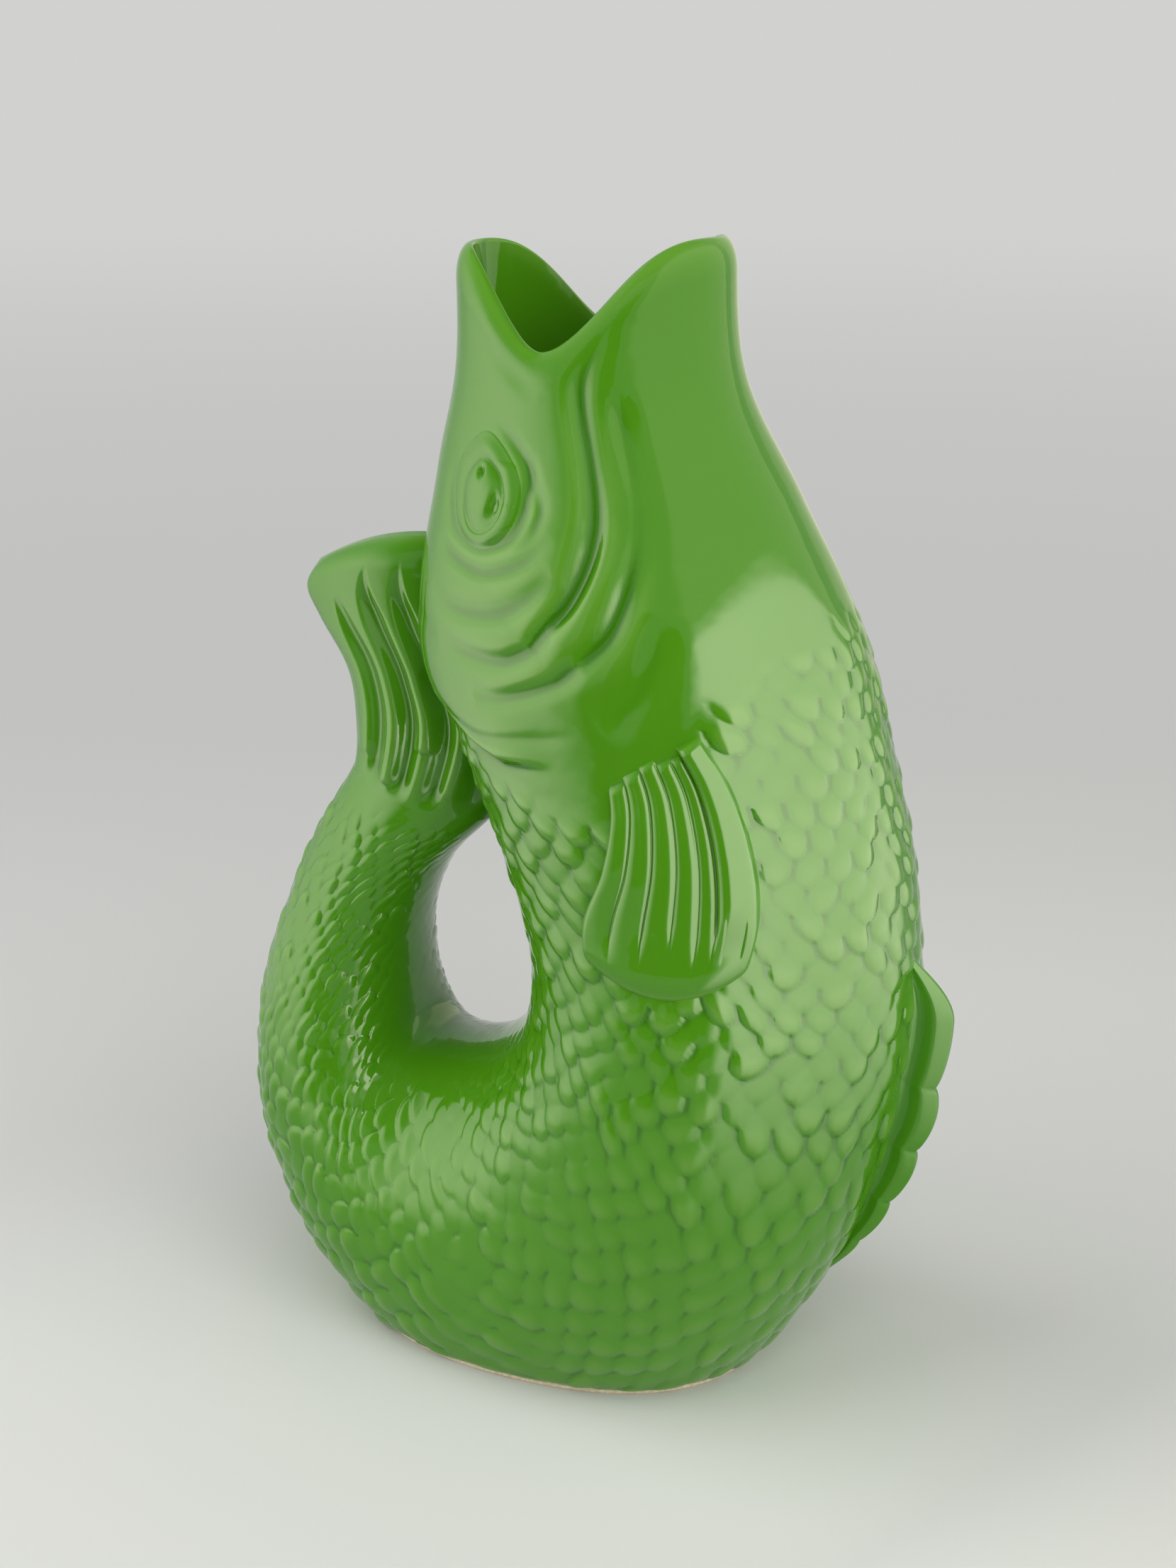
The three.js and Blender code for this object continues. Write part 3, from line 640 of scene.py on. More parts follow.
angles = np.linspace(0, 2 * np.pi, COLUMNS, endpoint=False)


def lip_section(v):
    """Section at which each column meets the lip, found by halving. The lip's edge rises from the corner of
    the mouth to its two tips as a power of a sine."""
    above = np.zeros_like(v)
    below = np.full_like(v, 2)
    corner = HEIGHT - MOUTH_DEPTH
    for _ in range(HALVINGS):
        u = (above + below) / 2
        point = oval(u, v)
        x, z = point[:, 0], point[:, 2]
        tip = np.where(x > MOUTH_CORNER, RAILS[0, 0], RAILS[0, 2])
        top = HEIGHT - np.where(x > MOUTH_CORNER, 0, BACK_LIP_DROP)
        share = np.clip((x - MOUTH_CORNER) / (tip - MOUTH_CORNER), 0, 1)
        over = z > mix(corner, top, np.sin(share * np.pi / 2) ** LIP_SWEEP)
        above = np.where(over, u, above)
        below = np.where(over, below, u)
    return below


def outer_rings(starts, end, ghosts_before, ghosts_after):
    """Rows of the skin between two sections, with ghost rows beyond its joints."""
    rows = int(round((end - np.min(starts)) * ROWS_PER_SECTION))
    steps = np.arange(-ghosts_before, rows + ghosts_after + 1) / rows
    u = starts + (end - starts) * steps[:, None]
    return skin(u, np.broadcast_to(angles, u.shape))


def inner_rings(starts, end):
    """Rows of the hollow, from the end back to the start: the tube a wall further in, above its floor."""
    rows = int(round((end - np.min(starts)) * INSIDE_ROWS))
    steps = np.linspace(1, 0, rows + 1)[:, None]
    u = starts + (end - starts) * steps
    points = oval(u, np.broadcast_to(angles, u.shape), WALL)
    points[..., 2] = soft_floor(points[..., 2], INSIDE_FLOOR, INSIDE_BEND)
    return points


def cut(array, before, after):
    """A grid without its ghost rows."""
    return array[before:len(array) - after]


def head_skin():
    """Head: up the hollow, over the lip and down the skin, closed at the joint. Outside, the lip curves in as
    a quarter of an ellipse; a quarter of a small circle turns it down into the hollow."""
    starts = lip_section(angles)
    rows = int(round((HEAD_JOINT - starts.min()) * HEAD_ROWS))
    steps = np.concatenate([LIP_FIRST_ROWS, np.arange(1, rows + GHOST_ROWS + 1)]) / rows
    u = starts + (HEAD_JOINT - starts) * steps[:, None]
    v = np.broadcast_to(angles, u.shape)
    along, _, normal = oval_tangents(u, v)
    below = (u - starts) * np.linalg.norm(along, axis=-1)
    curve = 1 - np.sqrt(1 - np.clip(1 - below / LIP_ROLL, 0, 1) ** 2)
    outside = skin(u, v) - normal * (curve * (WALL - LIP_EDGE))[..., None]
    inside = inner_rings(starts, HEAD_JOINT)
    inward = unit((inside[-1] - outside[0]) * [1, 1, 0])
    inside[-1, :, 2] = outside[0, :, 2] - LIP_EDGE
    turn = np.linspace(0, np.pi / 2, LIP_EDGE_ROWS + 2)[1:-1, None, None]
    centre = outside[0] - [0, 0, LIP_EDGE]
    rounding = centre + LIP_EDGE * (np.cos(turn) * inward + np.sin(turn) * np.array([0, 0, 1]))
    rings = np.concatenate([inside, rounding, outside])
    normals = grid_normals(rings)
    pool = hollowness(rings, normals, POOL_BLUR)
    pool[:len(inside) - 2] = 0
    rings, normals, pool = (cut(array, 0, GHOST_ROWS) for array in (rings, normals, pool))
    make_piece("head_skin", rings, "head_shell", True, normals, pool)


def open_skin(name, node, start, end):
    """A length of the body: down the skin and back up the hollow, closed at both joints."""
    outside = outer_rings(np.full(COLUMNS, start), end, GHOST_ROWS, GHOST_ROWS)
    normals = grid_normals(outside)
    pool = hollowness(outside, normals, POOL_BLUR)
    inside = inner_rings(np.full(COLUMNS, start), end)
    outside, normals, pool = (cut(array, GHOST_ROWS, GHOST_ROWS) for array in (outside, normals, pool))
    rings = np.concatenate([outside, inside])
    normals = np.concatenate([normals, grid_normals(inside)])
    pool = np.concatenate([pool, np.zeros(inside.shape[:2])])
    make_piece(name, rings, node, True, normals, pool)


def tail_skin():
    """Tail: from the blind end of its hollow, a quarter of an ellipse, down to the joint and up the skin to
    the root of the fin."""
    outside = outer_rings(np.full(COLUMNS, TAIL_JOINT), TAIL_END, GHOST_ROWS, 0)
    normals = grid_normals(outside)
    pool = hollowness(outside, normals, POOL_BLUR)
    outside, normals, pool = (cut(array, GHOST_ROWS, 0) for array in (outside, normals, pool))
    turn = np.linspace(0, np.pi / 2, TAIL_DOME_ROWS + 1)[:-1, None]
    closed = spline(RAILS, np.array(TAIL_HOLLOW_END))[4] - WALL / 2
    dome = oval(TAIL_HOLLOW_END - TAIL_DOME * (1 - np.cos(turn)), angles, mix(closed, WALL, np.sin(turn)))
    tube = inner_rings(np.full(COLUMNS, TAIL_JOINT), TAIL_HOLLOW_END - TAIL_DOME)
    inside = np.concatenate([dome, tube])
    rings = np.concatenate([inside, outside])
    normals = np.concatenate([grid_normals(inside), normals])
    pool = np.concatenate([np.zeros(inside.shape[:2]), pool])
    make_piece("tail_skin", rings, "tail_handle", False, normals, pool)


head_skin()
open_skin("trunk_skin", "trunk_shell", HEAD_JOINT, BASE_JOINT)
open_skin("base_skin", "base_shell", BASE_JOINT, TAIL_JOINT)
tail_skin()

# Fins, eyes and foot

PECTORAL_BELLY_EDGE = [(3.5, 60.5), (3.82, 56), (4.2, 53.7), (4.65, 54.8), (5.1, 60.5)]
PECTORAL_BACK_EDGE = [(3.9, 87), (4.2, 89), (4.6, 95.5), (5.0, 104.5), (5.36, 107.5)]
PECTORAL_TIP = 0.22  # how many sections the middle of the tip reaches beyond its corners
PECTORAL_RIBS = 5
PECTORAL_RIB_RISE = 1.3
PECTORAL_RIB_ROUND = 2.4  # power of its profile; higher is flatter on top
PECTORAL_RIBS_CROWD = 0.8  # below 1, the ribs beside the rim are narrower
PECTORAL_RIBS_START = (0.03, 0.025)  # share of the length, and how unevenly
PECTORAL_RIB_SHOULDER = 0.05  # share of the length over which the start of a rib rounds up
PECTORAL_GROOVES_END = (0.9, 0.03)
PECTORAL_UNEVEN = (1.7, 2.1)  # radians by which the sines of starts and ends turn from rib to rib
PECTORAL_HEM = 0.18  # share of the length over which the grooves fade
PECTORAL_RIM = 0.25  # share of the width taken by the smooth rim along the belly edge
PECTORAL_RIM_RISE = 3.4
PECTORAL_RIM_ROUND = 2.2
PECTORAL_RIM_LEAN = 1.8  # above 1, the rim is highest towards the ribs
PECTORAL_PLATE = 1.4  # thickness at the tip, below the ribs
PECTORAL_PLATE_GROWS = 0.6  # share of the length over which it thickens
PECTORAL_EDGES = (0.06, 0.05, 0.03, 0.1)  # shares over which belly edge, back edge, root and tip round off
SUNK = 0.7  # how far the edge of a luted piece lies under the skin
SEAT = 2.5  # how far its underside does


def rounded(f, power):
    """A ridge that is 0 at f = 0 and 1 and highest between; a higher power makes it flatter on top."""
    return np.sqrt(np.maximum(0, 1 - np.abs(2 * f - 1) ** power))


def over_and_under(top, under):
    """Rings that go over a piece's top and return underneath it with every eighth column."""
    return np.concatenate([top, under[:, -2:0:-8]], axis=1)


def quarter(t, length):
    """Rises from 0 at t = 0 to 1 at t = length, as a quarter of an ellipse."""
    return np.sqrt(1 - np.clip(1 - t / length, 0, 1) ** 2)


def pectoral_fin(side, hand):
    """A fan between two edges on the flank: s runs from its root to its tip and t from the belly edge to the
    back edge. Its height is a plate that thickens towards the tip, a round rim along the belly edge, and
    rounded ribs beside it in t. They start and run out into a smooth hem unevenly, by a sine of their
    number."""
    rows, columns = PECTORAL_GRID
    s = np.linspace(0, 1, rows)[:, None]
    t = np.linspace(0, 1, columns)
    belly = spline(PECTORAL_BELLY_EDGE, s[:, 0] * (len(PECTORAL_BELLY_EDGE) - 1))[:, None]
    back = spline(PECTORAL_BACK_EDGE, s[:, 0] * (len(PECTORAL_BACK_EDGE) - 1))[:, None]
    place = mix(belly, back, t[:, None])
    u = place[..., 0] + PECTORAL_TIP * s**3 * 4 * t * (1 - t)
    v = side * np.radians(place[..., 1])
    beside = (t - PECTORAL_RIM) / (1 - PECTORAL_RIM)
    rib = PECTORAL_RIBS * np.sign(beside) * np.abs(beside) ** PECTORAL_RIBS_CROWD
    ends, uneven_ends = PECTORAL_GROOVES_END
    begins, uneven_begins = PECTORAL_RIBS_START
    runs_out = ends + uneven_ends * np.sin(PECTORAL_UNEVEN[1] * np.round(rib))
    starts = begins + uneven_begins * np.sin(PECTORAL_UNEVEN[0] * np.floor(rib) + 1)
    groove = smooth((runs_out - s) / PECTORAL_HEM)
    over_rim = np.clip(t / PECTORAL_RIM, 0, 1) ** PECTORAL_RIM_LEAN
    profile = np.where(rib > 0, rounded(rib % 1, PECTORAL_RIB_ROUND), rounded(over_rim, PECTORAL_RIM_ROUND))
    rise = np.where(rib > 0, PECTORAL_RIB_RISE, mix(PECTORAL_RIB_RISE, PECTORAL_RIM_RISE, groove))
    ribs = rise * mix(1, profile, groove) * quarter(s - starts, PECTORAL_RIB_SHOULDER)
    plate = PECTORAL_PLATE * smooth(s / PECTORAL_PLATE_GROWS)
    at_belly, at_back, at_root, at_tip = PECTORAL_EDGES
    edges = quarter(t, at_belly) * quarter(1 - t, at_back) * quarter(s, at_root) * quarter(1 - s, at_tip)
    height = (plate + ribs + SUNK) * edges - SUNK
    rings = over_and_under(on_skin(u, v, height), on_skin(u, v, np.full_like(height, -SEAT)))
    if side < 0:
        rings = rings[:, ::-1]
    make_piece(f"pectoral_fan_{hand}", rings, f"pectoral_fin_{hand}", passes=4)


EYE_PLACE = (1.94, 117.5)
EYE_LENGTH = 32  # with the lid around the eyeball
EYE_WIDTH = 27.5
EYE_POINT = 0.34  # how much narrower the drop is drawn towards the mouth
EYE_SUNK = 0.3  # how far its outline lies under the skin
EYE_SINKS = (0.85, 0.15)  # where it begins to sink, from the middle to the outline, and over how much
EYE_INNERMOST = 0.02  # radius of the innermost ring, as a share
EYELID_RISE = 1.0
EYELID_NAPE = 0.4  # share of that rise towards the nape
EYELID_START = 0.93  # where the lid begins, in half sizes of the eyeball
EYELID_LEAN = 0.63  # below 1, the lid is highest near the eyeball
EYEBALL_LENGTH = 18.5
EYEBALL_WIDTH = 14.6
EYEBALL_RISE = 2
EYEBALL_ROUND = 0.7  # power of its profile; 0.5 is an ellipse
EYEBALL_SHIFT = 2.4  # away from the mouth
PIT_DEPTH = 1.2
PIT_SHIFT = 5.2  # towards the mouth, from the middle of the eyeball
PIT_SPREAD = (2.0, 0.9)  # squares of its half length and half width
CRESCENT_DEPTH = 1.4
CRESCENT_PLACE = (0.7, 1.05)  # in half sizes of the eyeball, and radians round it
CRESCENT_SPREAD = (0.16, 0.55)


def eye(side, hand):
    """A drop pointed towards the mouth: r runs from its middle to its outline and a turn goes round it. The
    eyeball is a flattened dome with a pit and a crescent pressed into it; the lid about it rises as a squared
    sine between the eyeball and the outline, lower towards the nape, and the outline sinks into the skin."""
    u0, v0 = EYE_PLACE[0], np.radians(EYE_PLACE[1])
    along, around, _ = oval_tangents(np.array(u0), np.array(v0))
    rows, columns = EYE_GRID
    r = np.linspace(EYE_INNERMOST, 1, rows)[:, None]
    turn = np.linspace(0, 2 * np.pi, columns, endpoint=False)
    drawn = 1 - EYE_POINT * np.clip(-np.cos(turn), 0, 1) ** 2
    down = r * EYE_LENGTH / 2 * np.cos(turn)
    across = r * EYE_WIDTH / 2 * np.sin(turn) * drawn
    from_middle = down - EYEBALL_SHIFT
    narrow = 1 - EYE_POINT * np.clip(-2 * from_middle / EYEBALL_LENGTH, 0, 1) ** 2
    on_ball = np.hypot(2 * from_middle / EYEBALL_LENGTH, 2 * across / EYEBALL_WIDTH / narrow)
    ball = EYEBALL_RISE * np.maximum(0, 1 - on_ball**2) ** EYEBALL_ROUND
    over_lid = np.clip((on_ball - EYELID_START) / (on_ball[-1] - EYELID_START), 0, 1)
    lid = EYELID_RISE * mix(1, EYELID_NAPE, smooth(np.sin(turn))) * np.sin(np.pi * over_lid**EYELID_LEAN) ** 2
    off_pit = (from_middle + PIT_SHIFT) ** 2 / PIT_SPREAD[0] + across**2 / PIT_SPREAD[1]
    beside = (on_ball - CRESCENT_PLACE[0]) / CRESCENT_SPREAD[0]
    aslant = (np.arctan2(-across, from_middle) - CRESCENT_PLACE[1]) / CRESCENT_SPREAD[1]
    pressed = PIT_DEPTH * np.exp(-off_pit) + CRESCENT_DEPTH * np.exp(-(beside**2) - aslant**2)
    height = ball + lid - pressed - EYE_SUNK * onset(r, *EYE_SINKS)
    u = u0 + down / np.linalg.norm(along)
    v = side * (v0 + across / np.linalg.norm(around))
    top = on_skin(u, v, height)
    under = on_skin(u[-1:], v[-1:], np.full_like(height[-1:], -SEAT))
    if side < 0:
        top, under = top[:, ::-1], under[:, ::-1]
    normals = grid_normals(top)
    rings = np.concatenate([top, under])
    normals = np.concatenate([normals, normals[-1:]])
    pool = np.concatenate([hollowness(top, normals[:-1], 4), np.zeros_like(height[-1:])])
    make_piece(f"eyeball_{hand}", rings, f"eye_{hand}", normals=normals, pool=pool)


TAIL_FIN_EDGE = [(0.3, 14), (-2.5, 27), (-11.5, 40.5), (-15.5, 49), (-11.5, 57)]
TAIL_FIN_NAPE = [4.35, 3.9, 3.4, 2.95, 2.5]
TAIL_FIN_THICKNESS = 19
TAIL_FIN_BORDER = 0.16  # share of the width that stays smooth along the outer edge
TAIL_FIN_FLUTE_ENDS = np.array([0.8, 0.93, 0.95, 0.95])  # where each flute comes to a point, along the length
TAIL_FIN_FLUTE_DEPTH = 2.8
TAIL_FIN_FINGER_STARTS = np.array([0.1, 0.04, 0.15, 0.06, 0.05])  # where the ridges between them begin
TAIL_FIN_FINGER_RISE = 1.3
TAIL_FIN_ROOT = 9
TAIL_FIN_BOW = 4
TAIL_FIN_RIM = 0.14  # share of the length over which the free edge rounds over
TAIL_FIN_FLATTENS = 0.7  # over which the round tail goes over into the flat fin
TAIL_FIN_FLUTE_POINT = 0.35  # over which a flute comes to its point
TAIL_FIN_FLUTE_START = 0.08
TAIL_FIN_FLUTE_ROUND = 0.12  # how softly a flute meets the ridges, as a share of its depth
TAIL_FIN_FINGER_FADES = (0.2, 0.5)
TAIL_FIN_FINGER_SHOULDER = 0.06  # share of the length over which the start of a finger rounds up
TAIL_FIN_SMOOTH_EDGE = 0.5  # sine of v below which the relief fades towards the two edges
TAIL_FIN_LEAD = 0.4  # sections before the end of the tail, whose run the fan carries on


def tail_fin():
    """A fan that carries on from the tail: s runs from the tail's end to the free edge and v around it, from
    the outer edge to the inner edge inside the nape. Flutes shaped as squared sines run along s and come to a
    point below the free edge; the ridges between them start at the tail as raised fingers."""
    rows, rim_rows, columns = TAIL_FIN_GRID
    plain = np.linspace(0, 1 - TAIL_FIN_RIM, rows)
    rim = 1 - TAIL_FIN_RIM * np.cos(np.linspace(0, np.pi / 2, rim_rows + 1)[1:])
    s = np.concatenate([plain, rim])[:, None]
    v = np.linspace(0, 2 * np.pi, columns, endpoint=False)
    root = RAILS[-1]
    lead = spline(RAILS, np.array([TAIL_END - TAIL_FIN_LEAD]))
    edge = np.vstack([lead[:, 0:2], root[0:2], np.array(TAIL_FIN_EDGE) + root[0:2]])
    along = np.array(TAIL_FIN_NAPE)
    nape = on_skin(along, np.full_like(along, np.pi), np.full_like(along, -TAIL_FIN_ROOT))[:, [0, 2]]
    outer = spline(edge, 1 + s[:, 0] * len(TAIL_FIN_EDGE))
    inner = spline(np.vstack([lead[:, 2:4], root[2:4], nape]), 1 + s[:, 0] * len(TAIL_FIN_NAPE))
    centre, reach = (outer + inner)[:, None] / 2, (outer - inner)[:, None] / 2
    rise = unit(np.stack([reach[..., 1], -reach[..., 0]], axis=-1))
    closing = quarter(1 - s, TAIL_FIN_RIM)
    half = mix(root[4], TAIL_FIN_THICKNESS / 2, smooth(s / TAIL_FIN_FLATTENS)) * closing
    flutes = len(TAIL_FIN_FLUTE_ENDS)
    flute = flutes * ((1 - np.cos(v)) / 2 - TAIL_FIN_BORDER) / (1 - TAIL_FIN_BORDER)
    which = np.clip(np.floor(flute), 0, flutes - 1).astype(int)
    trough = np.where(flute > 0, np.sin(np.pi * flute) ** 2, 0)
    drawn_in = 1 - smooth((TAIL_FIN_FLUTE_ENDS[which] - s) / TAIL_FIN_FLUTE_POINT)
    open_part = np.maximum(0, trough - drawn_in)
    scoop = open_part**2 / (open_part + TAIL_FIN_FLUTE_ROUND) * smooth(s / TAIL_FIN_FLUTE_START)
    starts = TAIL_FIN_FINGER_STARTS[np.clip(np.round(flute), 0, flutes).astype(int)]
    finger = np.where(flute > -0.5, np.cos(np.pi * flute) ** 2, 0)
    finger = finger * quarter(s - starts, TAIL_FIN_FINGER_SHOULDER) * (1 - onset(s, *TAIL_FIN_FINGER_FADES))
    relief = TAIL_FIN_FINGER_RISE * finger - TAIL_FIN_FLUTE_DEPTH * scoop
    flat = centre + reach * np.cos(v)[:, None] + rise * (TAIL_FIN_BOW * s * np.sin(v) ** 2)[..., None]
    y = (half + relief * smooth(np.abs(np.sin(v)) / TAIL_FIN_SMOOTH_EDGE)) * np.sin(v)
    rings = np.stack([flat[..., 0], y, flat[..., 1]], axis=-1)
    make_piece("tail_fin_fan", rings, "tail_fin", normals=grid_normals(rings), passes=6)


BELLY_FIN_SPAN = (5.2, 7.15)
BELLY_FIN_HEIGHT = 11.5
BELLY_FIN_NOTCHES = (0, 0.41, 0.59, 0.74, 0.87, 1)  # where its lobes meet, along its length
BELLY_FIN_SCALLOP = 0.22  # depth of the notches between them, as a share of the height
BELLY_FIN_ENDS = (0.2, 0.55)  # shares of the length over which its two ends rise
BELLY_FIN_BEAD = 3.4  # half thickness of the bead along the free edge
BELLY_FIN_BEAD_PLACE = (0.72, 0.2)  # its middle and its spread, as shares of the height
BELLY_FIN_WEB = 0.5  # thickness of the web below it, as a share
BELLY_FIN_THIN_ENDS = 0.45  # thickness of the crest at its ends, as a share


def belly_fin():
    """A crest on the belly line: s runs along it and t over its profile, from the root on one side to the
    other. The profile is a thin web with a bead, a bell, along its scalloped free edge, and widens at its
    root as a high power of t."""
    rows, columns = BELLY_FIN_GRID
    s = np.linspace(0, 1, rows)[:, None]
    t = np.linspace(-1, 1, columns)
    u = mix(*BELLY_FIN_SPAN, s)
    rises, falls = BELLY_FIN_ENDS
    envelope = np.sqrt(smooth(s / rises) * smooth((1 - s) / falls))
    lobe = np.interp(s, BELLY_FIN_NOTCHES, np.arange(len(BELLY_FIN_NOTCHES)))
    scallop = 1 - BELLY_FIN_SCALLOP * (1 - np.abs(np.sin(np.pi * lobe)) ** 0.5)
    height = BELLY_FIN_HEIGHT * envelope * scallop
    up = 1 - np.abs(t) ** 3
    middle, spread = BELLY_FIN_BEAD_PLACE
    bead = np.exp(-((up - middle) / spread) ** 2)
    thickness = np.sign(t) * np.abs(t) ** 0.5 * mix(BELLY_FIN_WEB, 1, bead + np.abs(t) ** 12)
    y = BELLY_FIN_BEAD * mix(BELLY_FIN_THIN_ENDS, 1, envelope) * thickness
    seat = on_skin(u, np.arcsin(y / spline(RAILS, u)[..., 4]), np.full_like(y, -SEAT))
    outward = oval_tangents(u, np.zeros_like(u))[2]
    rings = seat + outward * ((height + SEAT) * up)[..., None]
    make_piece("belly_fin_crest", rings, "belly_fin", passes=4)


def foot_path(turn):
    """Where the plain tube meets the end of the glaze, once round: u swings between the two ends of the foot
    and the angle is where the section's height equals that level."""
    u = np.linspace(*FOOT_SEARCH)
    level = spline(RAILS, u)
    reaches = (level[:, 1] < GLAZE_END) & (level[:, 3] > GLAZE_END)
    low, high = u[reaches][[0, -1]]
    at = (low + high) / 2 + (high - low) / 2 * np.cos(turn)
    rail = spline(RAILS, at)
    cosine = (2 * GLAZE_END - rail[:, 1] - rail[:, 3]) / (rail[:, 1] - rail[:, 3])
    return oval(at, np.arccos(np.clip(cosine, -1, 1)) * np.where(np.sin(turn) < 0, -1, 1))[:, :2]


def foot_ring():
    """Line of bare clay: a low bevelled band carried round the foot, a little inside the end of the glaze."""
    turn = np.linspace(0, 2 * np.pi, FOOT_STEPS, endpoint=False)
    path = foot_path(turn)
    tangent = unit(np.roll(path, -1, axis=0) - np.roll(path, 1, axis=0))
    inward = np.column_stack([-tangent[:, 1], tangent[:, 0]])
    inward = inward * np.sign((inward * (path.mean(0) - path)).sum(1).mean())
    top = GLAZE_END + FOOT_HIDDEN
    outer = [(FOOT_EDGE, 0), (0, FOOT_EDGE), (0, top)]
    profile = np.array([*outer[1:], *((FOOT_WIDTH - x, z) for x, z in outer[::-1]), outer[0]])
    flat = path + inward * (FOOT_SETBACK + profile[:, 0])[:, None, None]
    height = np.broadcast_to(profile[:, 1, None], flat.shape[:2])
    rings = np.concatenate([flat, height[..., None]], axis=-1)
    make_piece("foot_line", rings, "foot_ring", loop=True, slot="bare_clay")


for hand, side in (("left", 1), ("right", -1)):
    pectoral_fin(side, hand)
    eye(side, hand)
tail_fin()
belly_fin()
foot_ring()

# Studio

FLOOR_GREY = (0.64, 0.64, 0.627, 1)
FLOOR_SHADED_GLOW = 0.84  # painted shade: how bright the floor's glow is around the carafe, as a share
FLOOR_BRIGHTENS = (0.6, 4.0)  # distances in metres over which it reaches its full brightness, as that painted shade fades out
FLOOR_GLOWS = (0.25, 0.8)  # and over which paint gives way to glow
FLOOR_RADII = [0.25, 0.6, 1.5, 5, 40]
FLOOR_SPOKES = 96
AIR_DIM = 0.35  # light of the air on the carafe, as a share of what is seen of it
SHEET_WARM = (1, 0.99, 0.78, 1)
SHEET_CELLS = 40  # along each side


def dimmed(colour, share):
    return (*(share * part for part in colour[:3]), 1)


def background_ray(graph):
    """1 for a ray that shows the background, straight or in the glaze, and 0 for one that carries light."""
    path = graph.node("ShaderNodeLightPath").outputs
    seen = Value(graph, path["Is Camera Ray"]).most(Value(graph, path["Is Glossy Ray"]))
    return seen.most(Value(graph, path["Is Transmission Ray"]))


def pale_floor():
    """A wide level disc. Near the carafe it is painted and takes shadow; further out it glows, with painted
    shade that dims the glow nearer the carafe.
    """
    radii = np.array(FLOOR_RADII)[:, None]
    rings = len(FLOOR_RADII)
    turn = np.linspace(0, 2 * np.pi, FLOOR_SPOKES, endpoint=False)
    flat = np.stack([radii * np.cos(turn), radii * np.sin(turn), np.zeros((rings, FLOOR_SPOKES))], axis=-1)
    points = np.vstack([flat.reshape(-1, 3), [[0, 0, 0]]])
    quads, fans = ring_faces(rings, FLOOR_SPOKES, False)
    mesh = bpy.data.meshes.new("floor")
    mesh.from_pydata(points, [], [*quads.tolist(), *fans[:FLOOR_SPOKES].tolist()])
    add_object("floor", mesh)
    material, graph = new_material("pale_floor")
    place = graph.node("ShaderNodeTexCoord").outputs["Object"]
    distance = graph.value("ShaderNodeVectorMath", dict(operation="LENGTH"), {0: place}, "Value")
    paint = graph.node("ShaderNodeBsdfPrincipled", None, {"Base Color": FLOOR_GREY, "Roughness": 0.7})
    # painted shade: the glow is dimmer around the carafe and brightens to the floor's grey far out
    colour = graph.blend(distance.within(*FLOOR_BRIGHTENS), dimmed(FLOOR_GREY, FLOOR_SHADED_GLOW), FLOOR_GREY)
    glow = graph.node("ShaderNodeEmission", None, {"Color": colour, "Strength": 1.0})
    graph.covered(background_ray(graph) * distance.within(*FLOOR_GLOWS), paint, glow)
    mesh.materials.append(material)


def pale_air():
    """The floor's grey all round, which gives less light than it shows."""
    world = bpy.data.worlds.new("pale_air")
    bpy.context.scene.world = world
    world.use_nodes = True
    graph = Graph(world.node_tree)
    colour = graph.blend(background_ray(graph), dimmed(FLOOR_GREY, AIR_DIM), FLOOR_GREY)
    air = graph.node("ShaderNodeBackground", None, {"Color": colour, "Strength": 1.0})
    graph.node("ShaderNodeOutputWorld", None, {"Surface": air.outputs["Background"]})


def sheet(name, corners, level, borders, arch=0):
    """A glowing sheet between four corners, named counter-clockwise from the lower left. It thins out towards
    its left, right, lower and upper border over the given shares of its sides, and only the glaze shows it.
    An arch raises the middle of its upper border, as a parabola."""
    steps = np.linspace(0, 1, SHEET_CELLS + 1)
    s, t = np.meshgrid(steps, steps, indexing="ij")
    a, b, c, d = np.array(corners)
    across, up = s[..., None], t[..., None]
    points = mix(mix(a, b, across), mix(d, c, across), up)
    points[..., 2] += arch * t * 4 * s * (1 - s)
    left, right, lower, upper = borders
    cover = smooth(s / left) * smooth((1 - s) / right) * smooth(t / lower) * smooth((1 - t) / upper)
    row = SHEET_CELLS + 1
    first = (np.arange(SHEET_CELLS)[:, None] * row + np.arange(SHEET_CELLS)).ravel()
    faces = np.column_stack([first, first + row, first + row + 1, first + 1])
    mesh = bpy.data.meshes.new(name)
    mesh.from_pydata(points.reshape(-1, 3), [], faces.tolist())
    mesh.attributes.new("cover", "FLOAT", "POINT").data.foreach_set("value", cover.ravel().astype(np.float32))
    holder = add_object(name, mesh)
    material, graph = new_material(name)
    glow = graph.node("ShaderNodeEmission", None, {"Color": SHEET_WARM, "Strength": level})
    cover = graph.value("ShaderNodeAttribute", dict(attribute_name="cover"), output="Fac")
    graph.covered(cover, graph.node("ShaderNodeBsdfTransparent"), glow)
    mesh.materials.append(material)
    holder.visible_camera = False
    holder.visible_diffuse = False
    holder.visible_shadow = False


LAMP_SIDE = 1.9


def lamp(name, middle, towards, radiance):
    """A flat square lamp at a place, facing another. It does not show in the shine of the glaze."""
    light = bpy.data.lights.new(name, "AREA")
    light.shape = "RECTANGLE"
    light.size, light.size_y = LAMP_SIDE, LAMP_SIDE
    light.energy = radiance * np.pi * LAMP_SIDE * LAMP_SIDE
    holder = add_object(name, light)
    holder.location = middle
    holder.rotation_euler = (Vector(middle) - Vector(towards)).to_track_quat("Z", "Y").to_euler()
    holder.visible_camera = False
    holder.visible_glossy = False


CAMERA_PLACE = Vector((0.254575, -0.555013, 0.364310))
CAMERA_FORWARD = Vector((-0.398334, 0.862223, -0.312890))
CAMERA_ROLL = np.radians(0.438)
FOCAL_LENGTH = 3300  # in pixels of the photograph
PHOTO_HEIGHT = 2212
SENSOR = 36


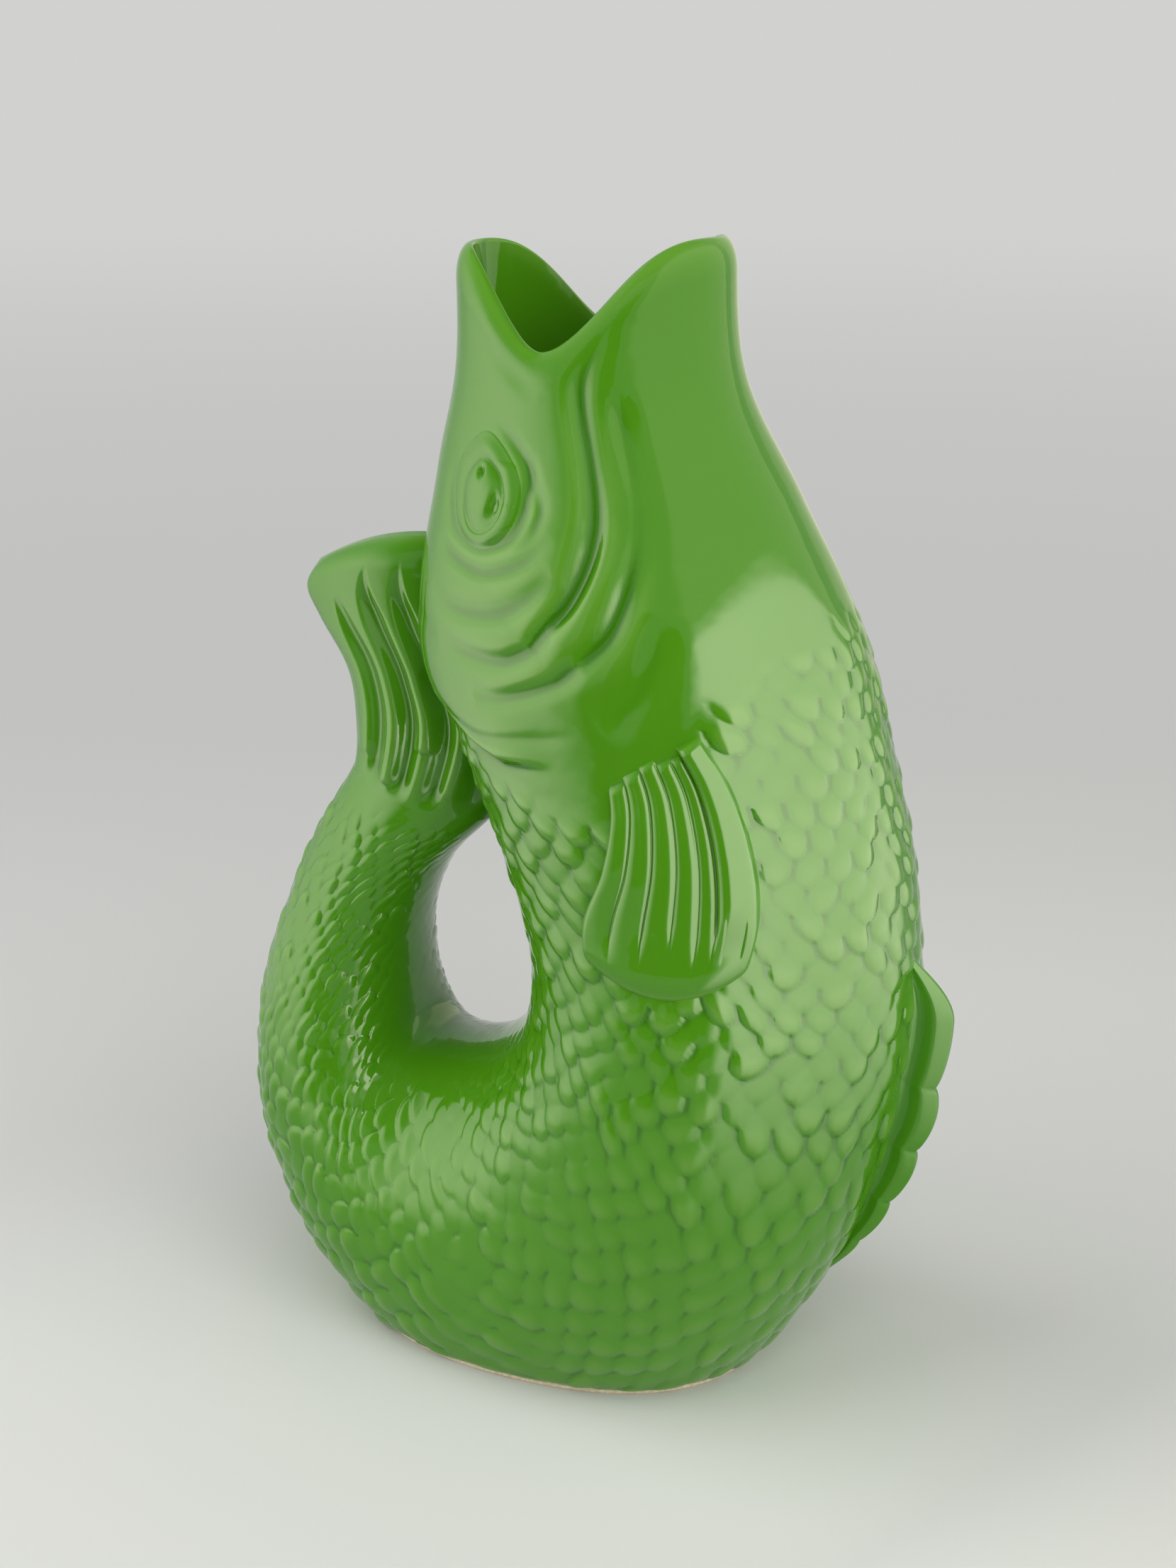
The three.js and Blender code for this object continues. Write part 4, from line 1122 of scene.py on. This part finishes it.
def camera():
    """Stands in front, to the right and a little above, as the photograph's did."""
    level = CAMERA_FORWARD.cross(Vector((0, 0, 1))).normalized()
    upright = level.cross(CAMERA_FORWARD)
    right = level * np.cos(CAMERA_ROLL) + upright * np.sin(CAMERA_ROLL)
    up = right.cross(CAMERA_FORWARD)
    data = bpy.data.cameras.new("camera")
    data.sensor_width = SENSOR
    data.lens = FOCAL_LENGTH / PHOTO_HEIGHT * SENSOR
    data.clip_start = 0.01
    holder = add_object("camera", data)
    turned = Matrix((right, up, -CAMERA_FORWARD)).transposed().to_4x4()
    holder.matrix_world = Matrix.Translation(CAMERA_PLACE) @ turned
    bpy.context.scene.camera = holder


pale_floor()
pale_air()

# What the glaze reflects: two dark screens, two bright panels, two wide pale walls and a dark ceiling
sheet("dark_screen", [(-0.06, -0.8, -0.1), (0.32, -0.75, -0.1), (0.32, -0.75, 0.62), (-0.06, -0.8, 0.62)],
      level=0.05, borders=(0.12, 0.08, 0.02, 0.15))
sheet("dark_low", [(-0.6, -0.7, -0.05), (0, -0.8, -0.05), (0, -0.8, 0.2), (-0.6, -0.7, 0.2)],
      level=0.1, borders=(0.3, 0.02, 0.02, 0.4))
sheet("panel_right", [(0.088, -0.136, 0), (0.2335, 0.224, 0), (0.2335, 0.224, 0.19), (0.088, -0.136, 0.26)],
      level=7.6, borders=(0.06, 0.9, 0.6, 0.06), arch=0.06)
sheet("panel_left", [(-0.217, 0.08, 0), (-0.217, -0.66, 0), (-0.217, -0.66, 0.48), (-0.217, 0.08, 0.48)],
      level=4.1, borders=(0.33, 0.7, 0.22, 0.45))
sheet("wide_right", [(0.5, -0.85, -0.2), (0.8, 0.95, -0.2), (0.8, 0.95, 1.3), (0.5, -0.85, 1.3)],
      level=1.5, borders=(0.06, 0.04, 0.1, 0.25))
sheet("wide_back", [(0.66, 1.2, -0.2), (-0.5, 1.5, -0.2), (-0.5, 1.5, 1.3), (0.66, 1.2, 1.3)],
      level=1.0, borders=(0.04, 0.2, 0.1, 0.25))
sheet("dark_above", [(-0.8, -1.2, 1.1), (0.6, -1.2, 1.1), (0.6, 0.9, 1.1), (-0.8, 0.9, 1.1)],
      level=0.15, borders=(0.25, 0.25, 0.12, 0.25))
lamp("soft_right", (1.2, -0.6, 1.0), towards=(0, 0, 0.12), radiance=2.1)
lamp("soft_left", (-1.2, -0.6, 1.0), towards=(0, 0, 0.12), radiance=2.0)
lamp("soft_above", (0, 0, 1.8), towards=(0, 0, 0), radiance=0.4)
camera()
bpy.context.scene.view_settings.view_transform = "Standard"
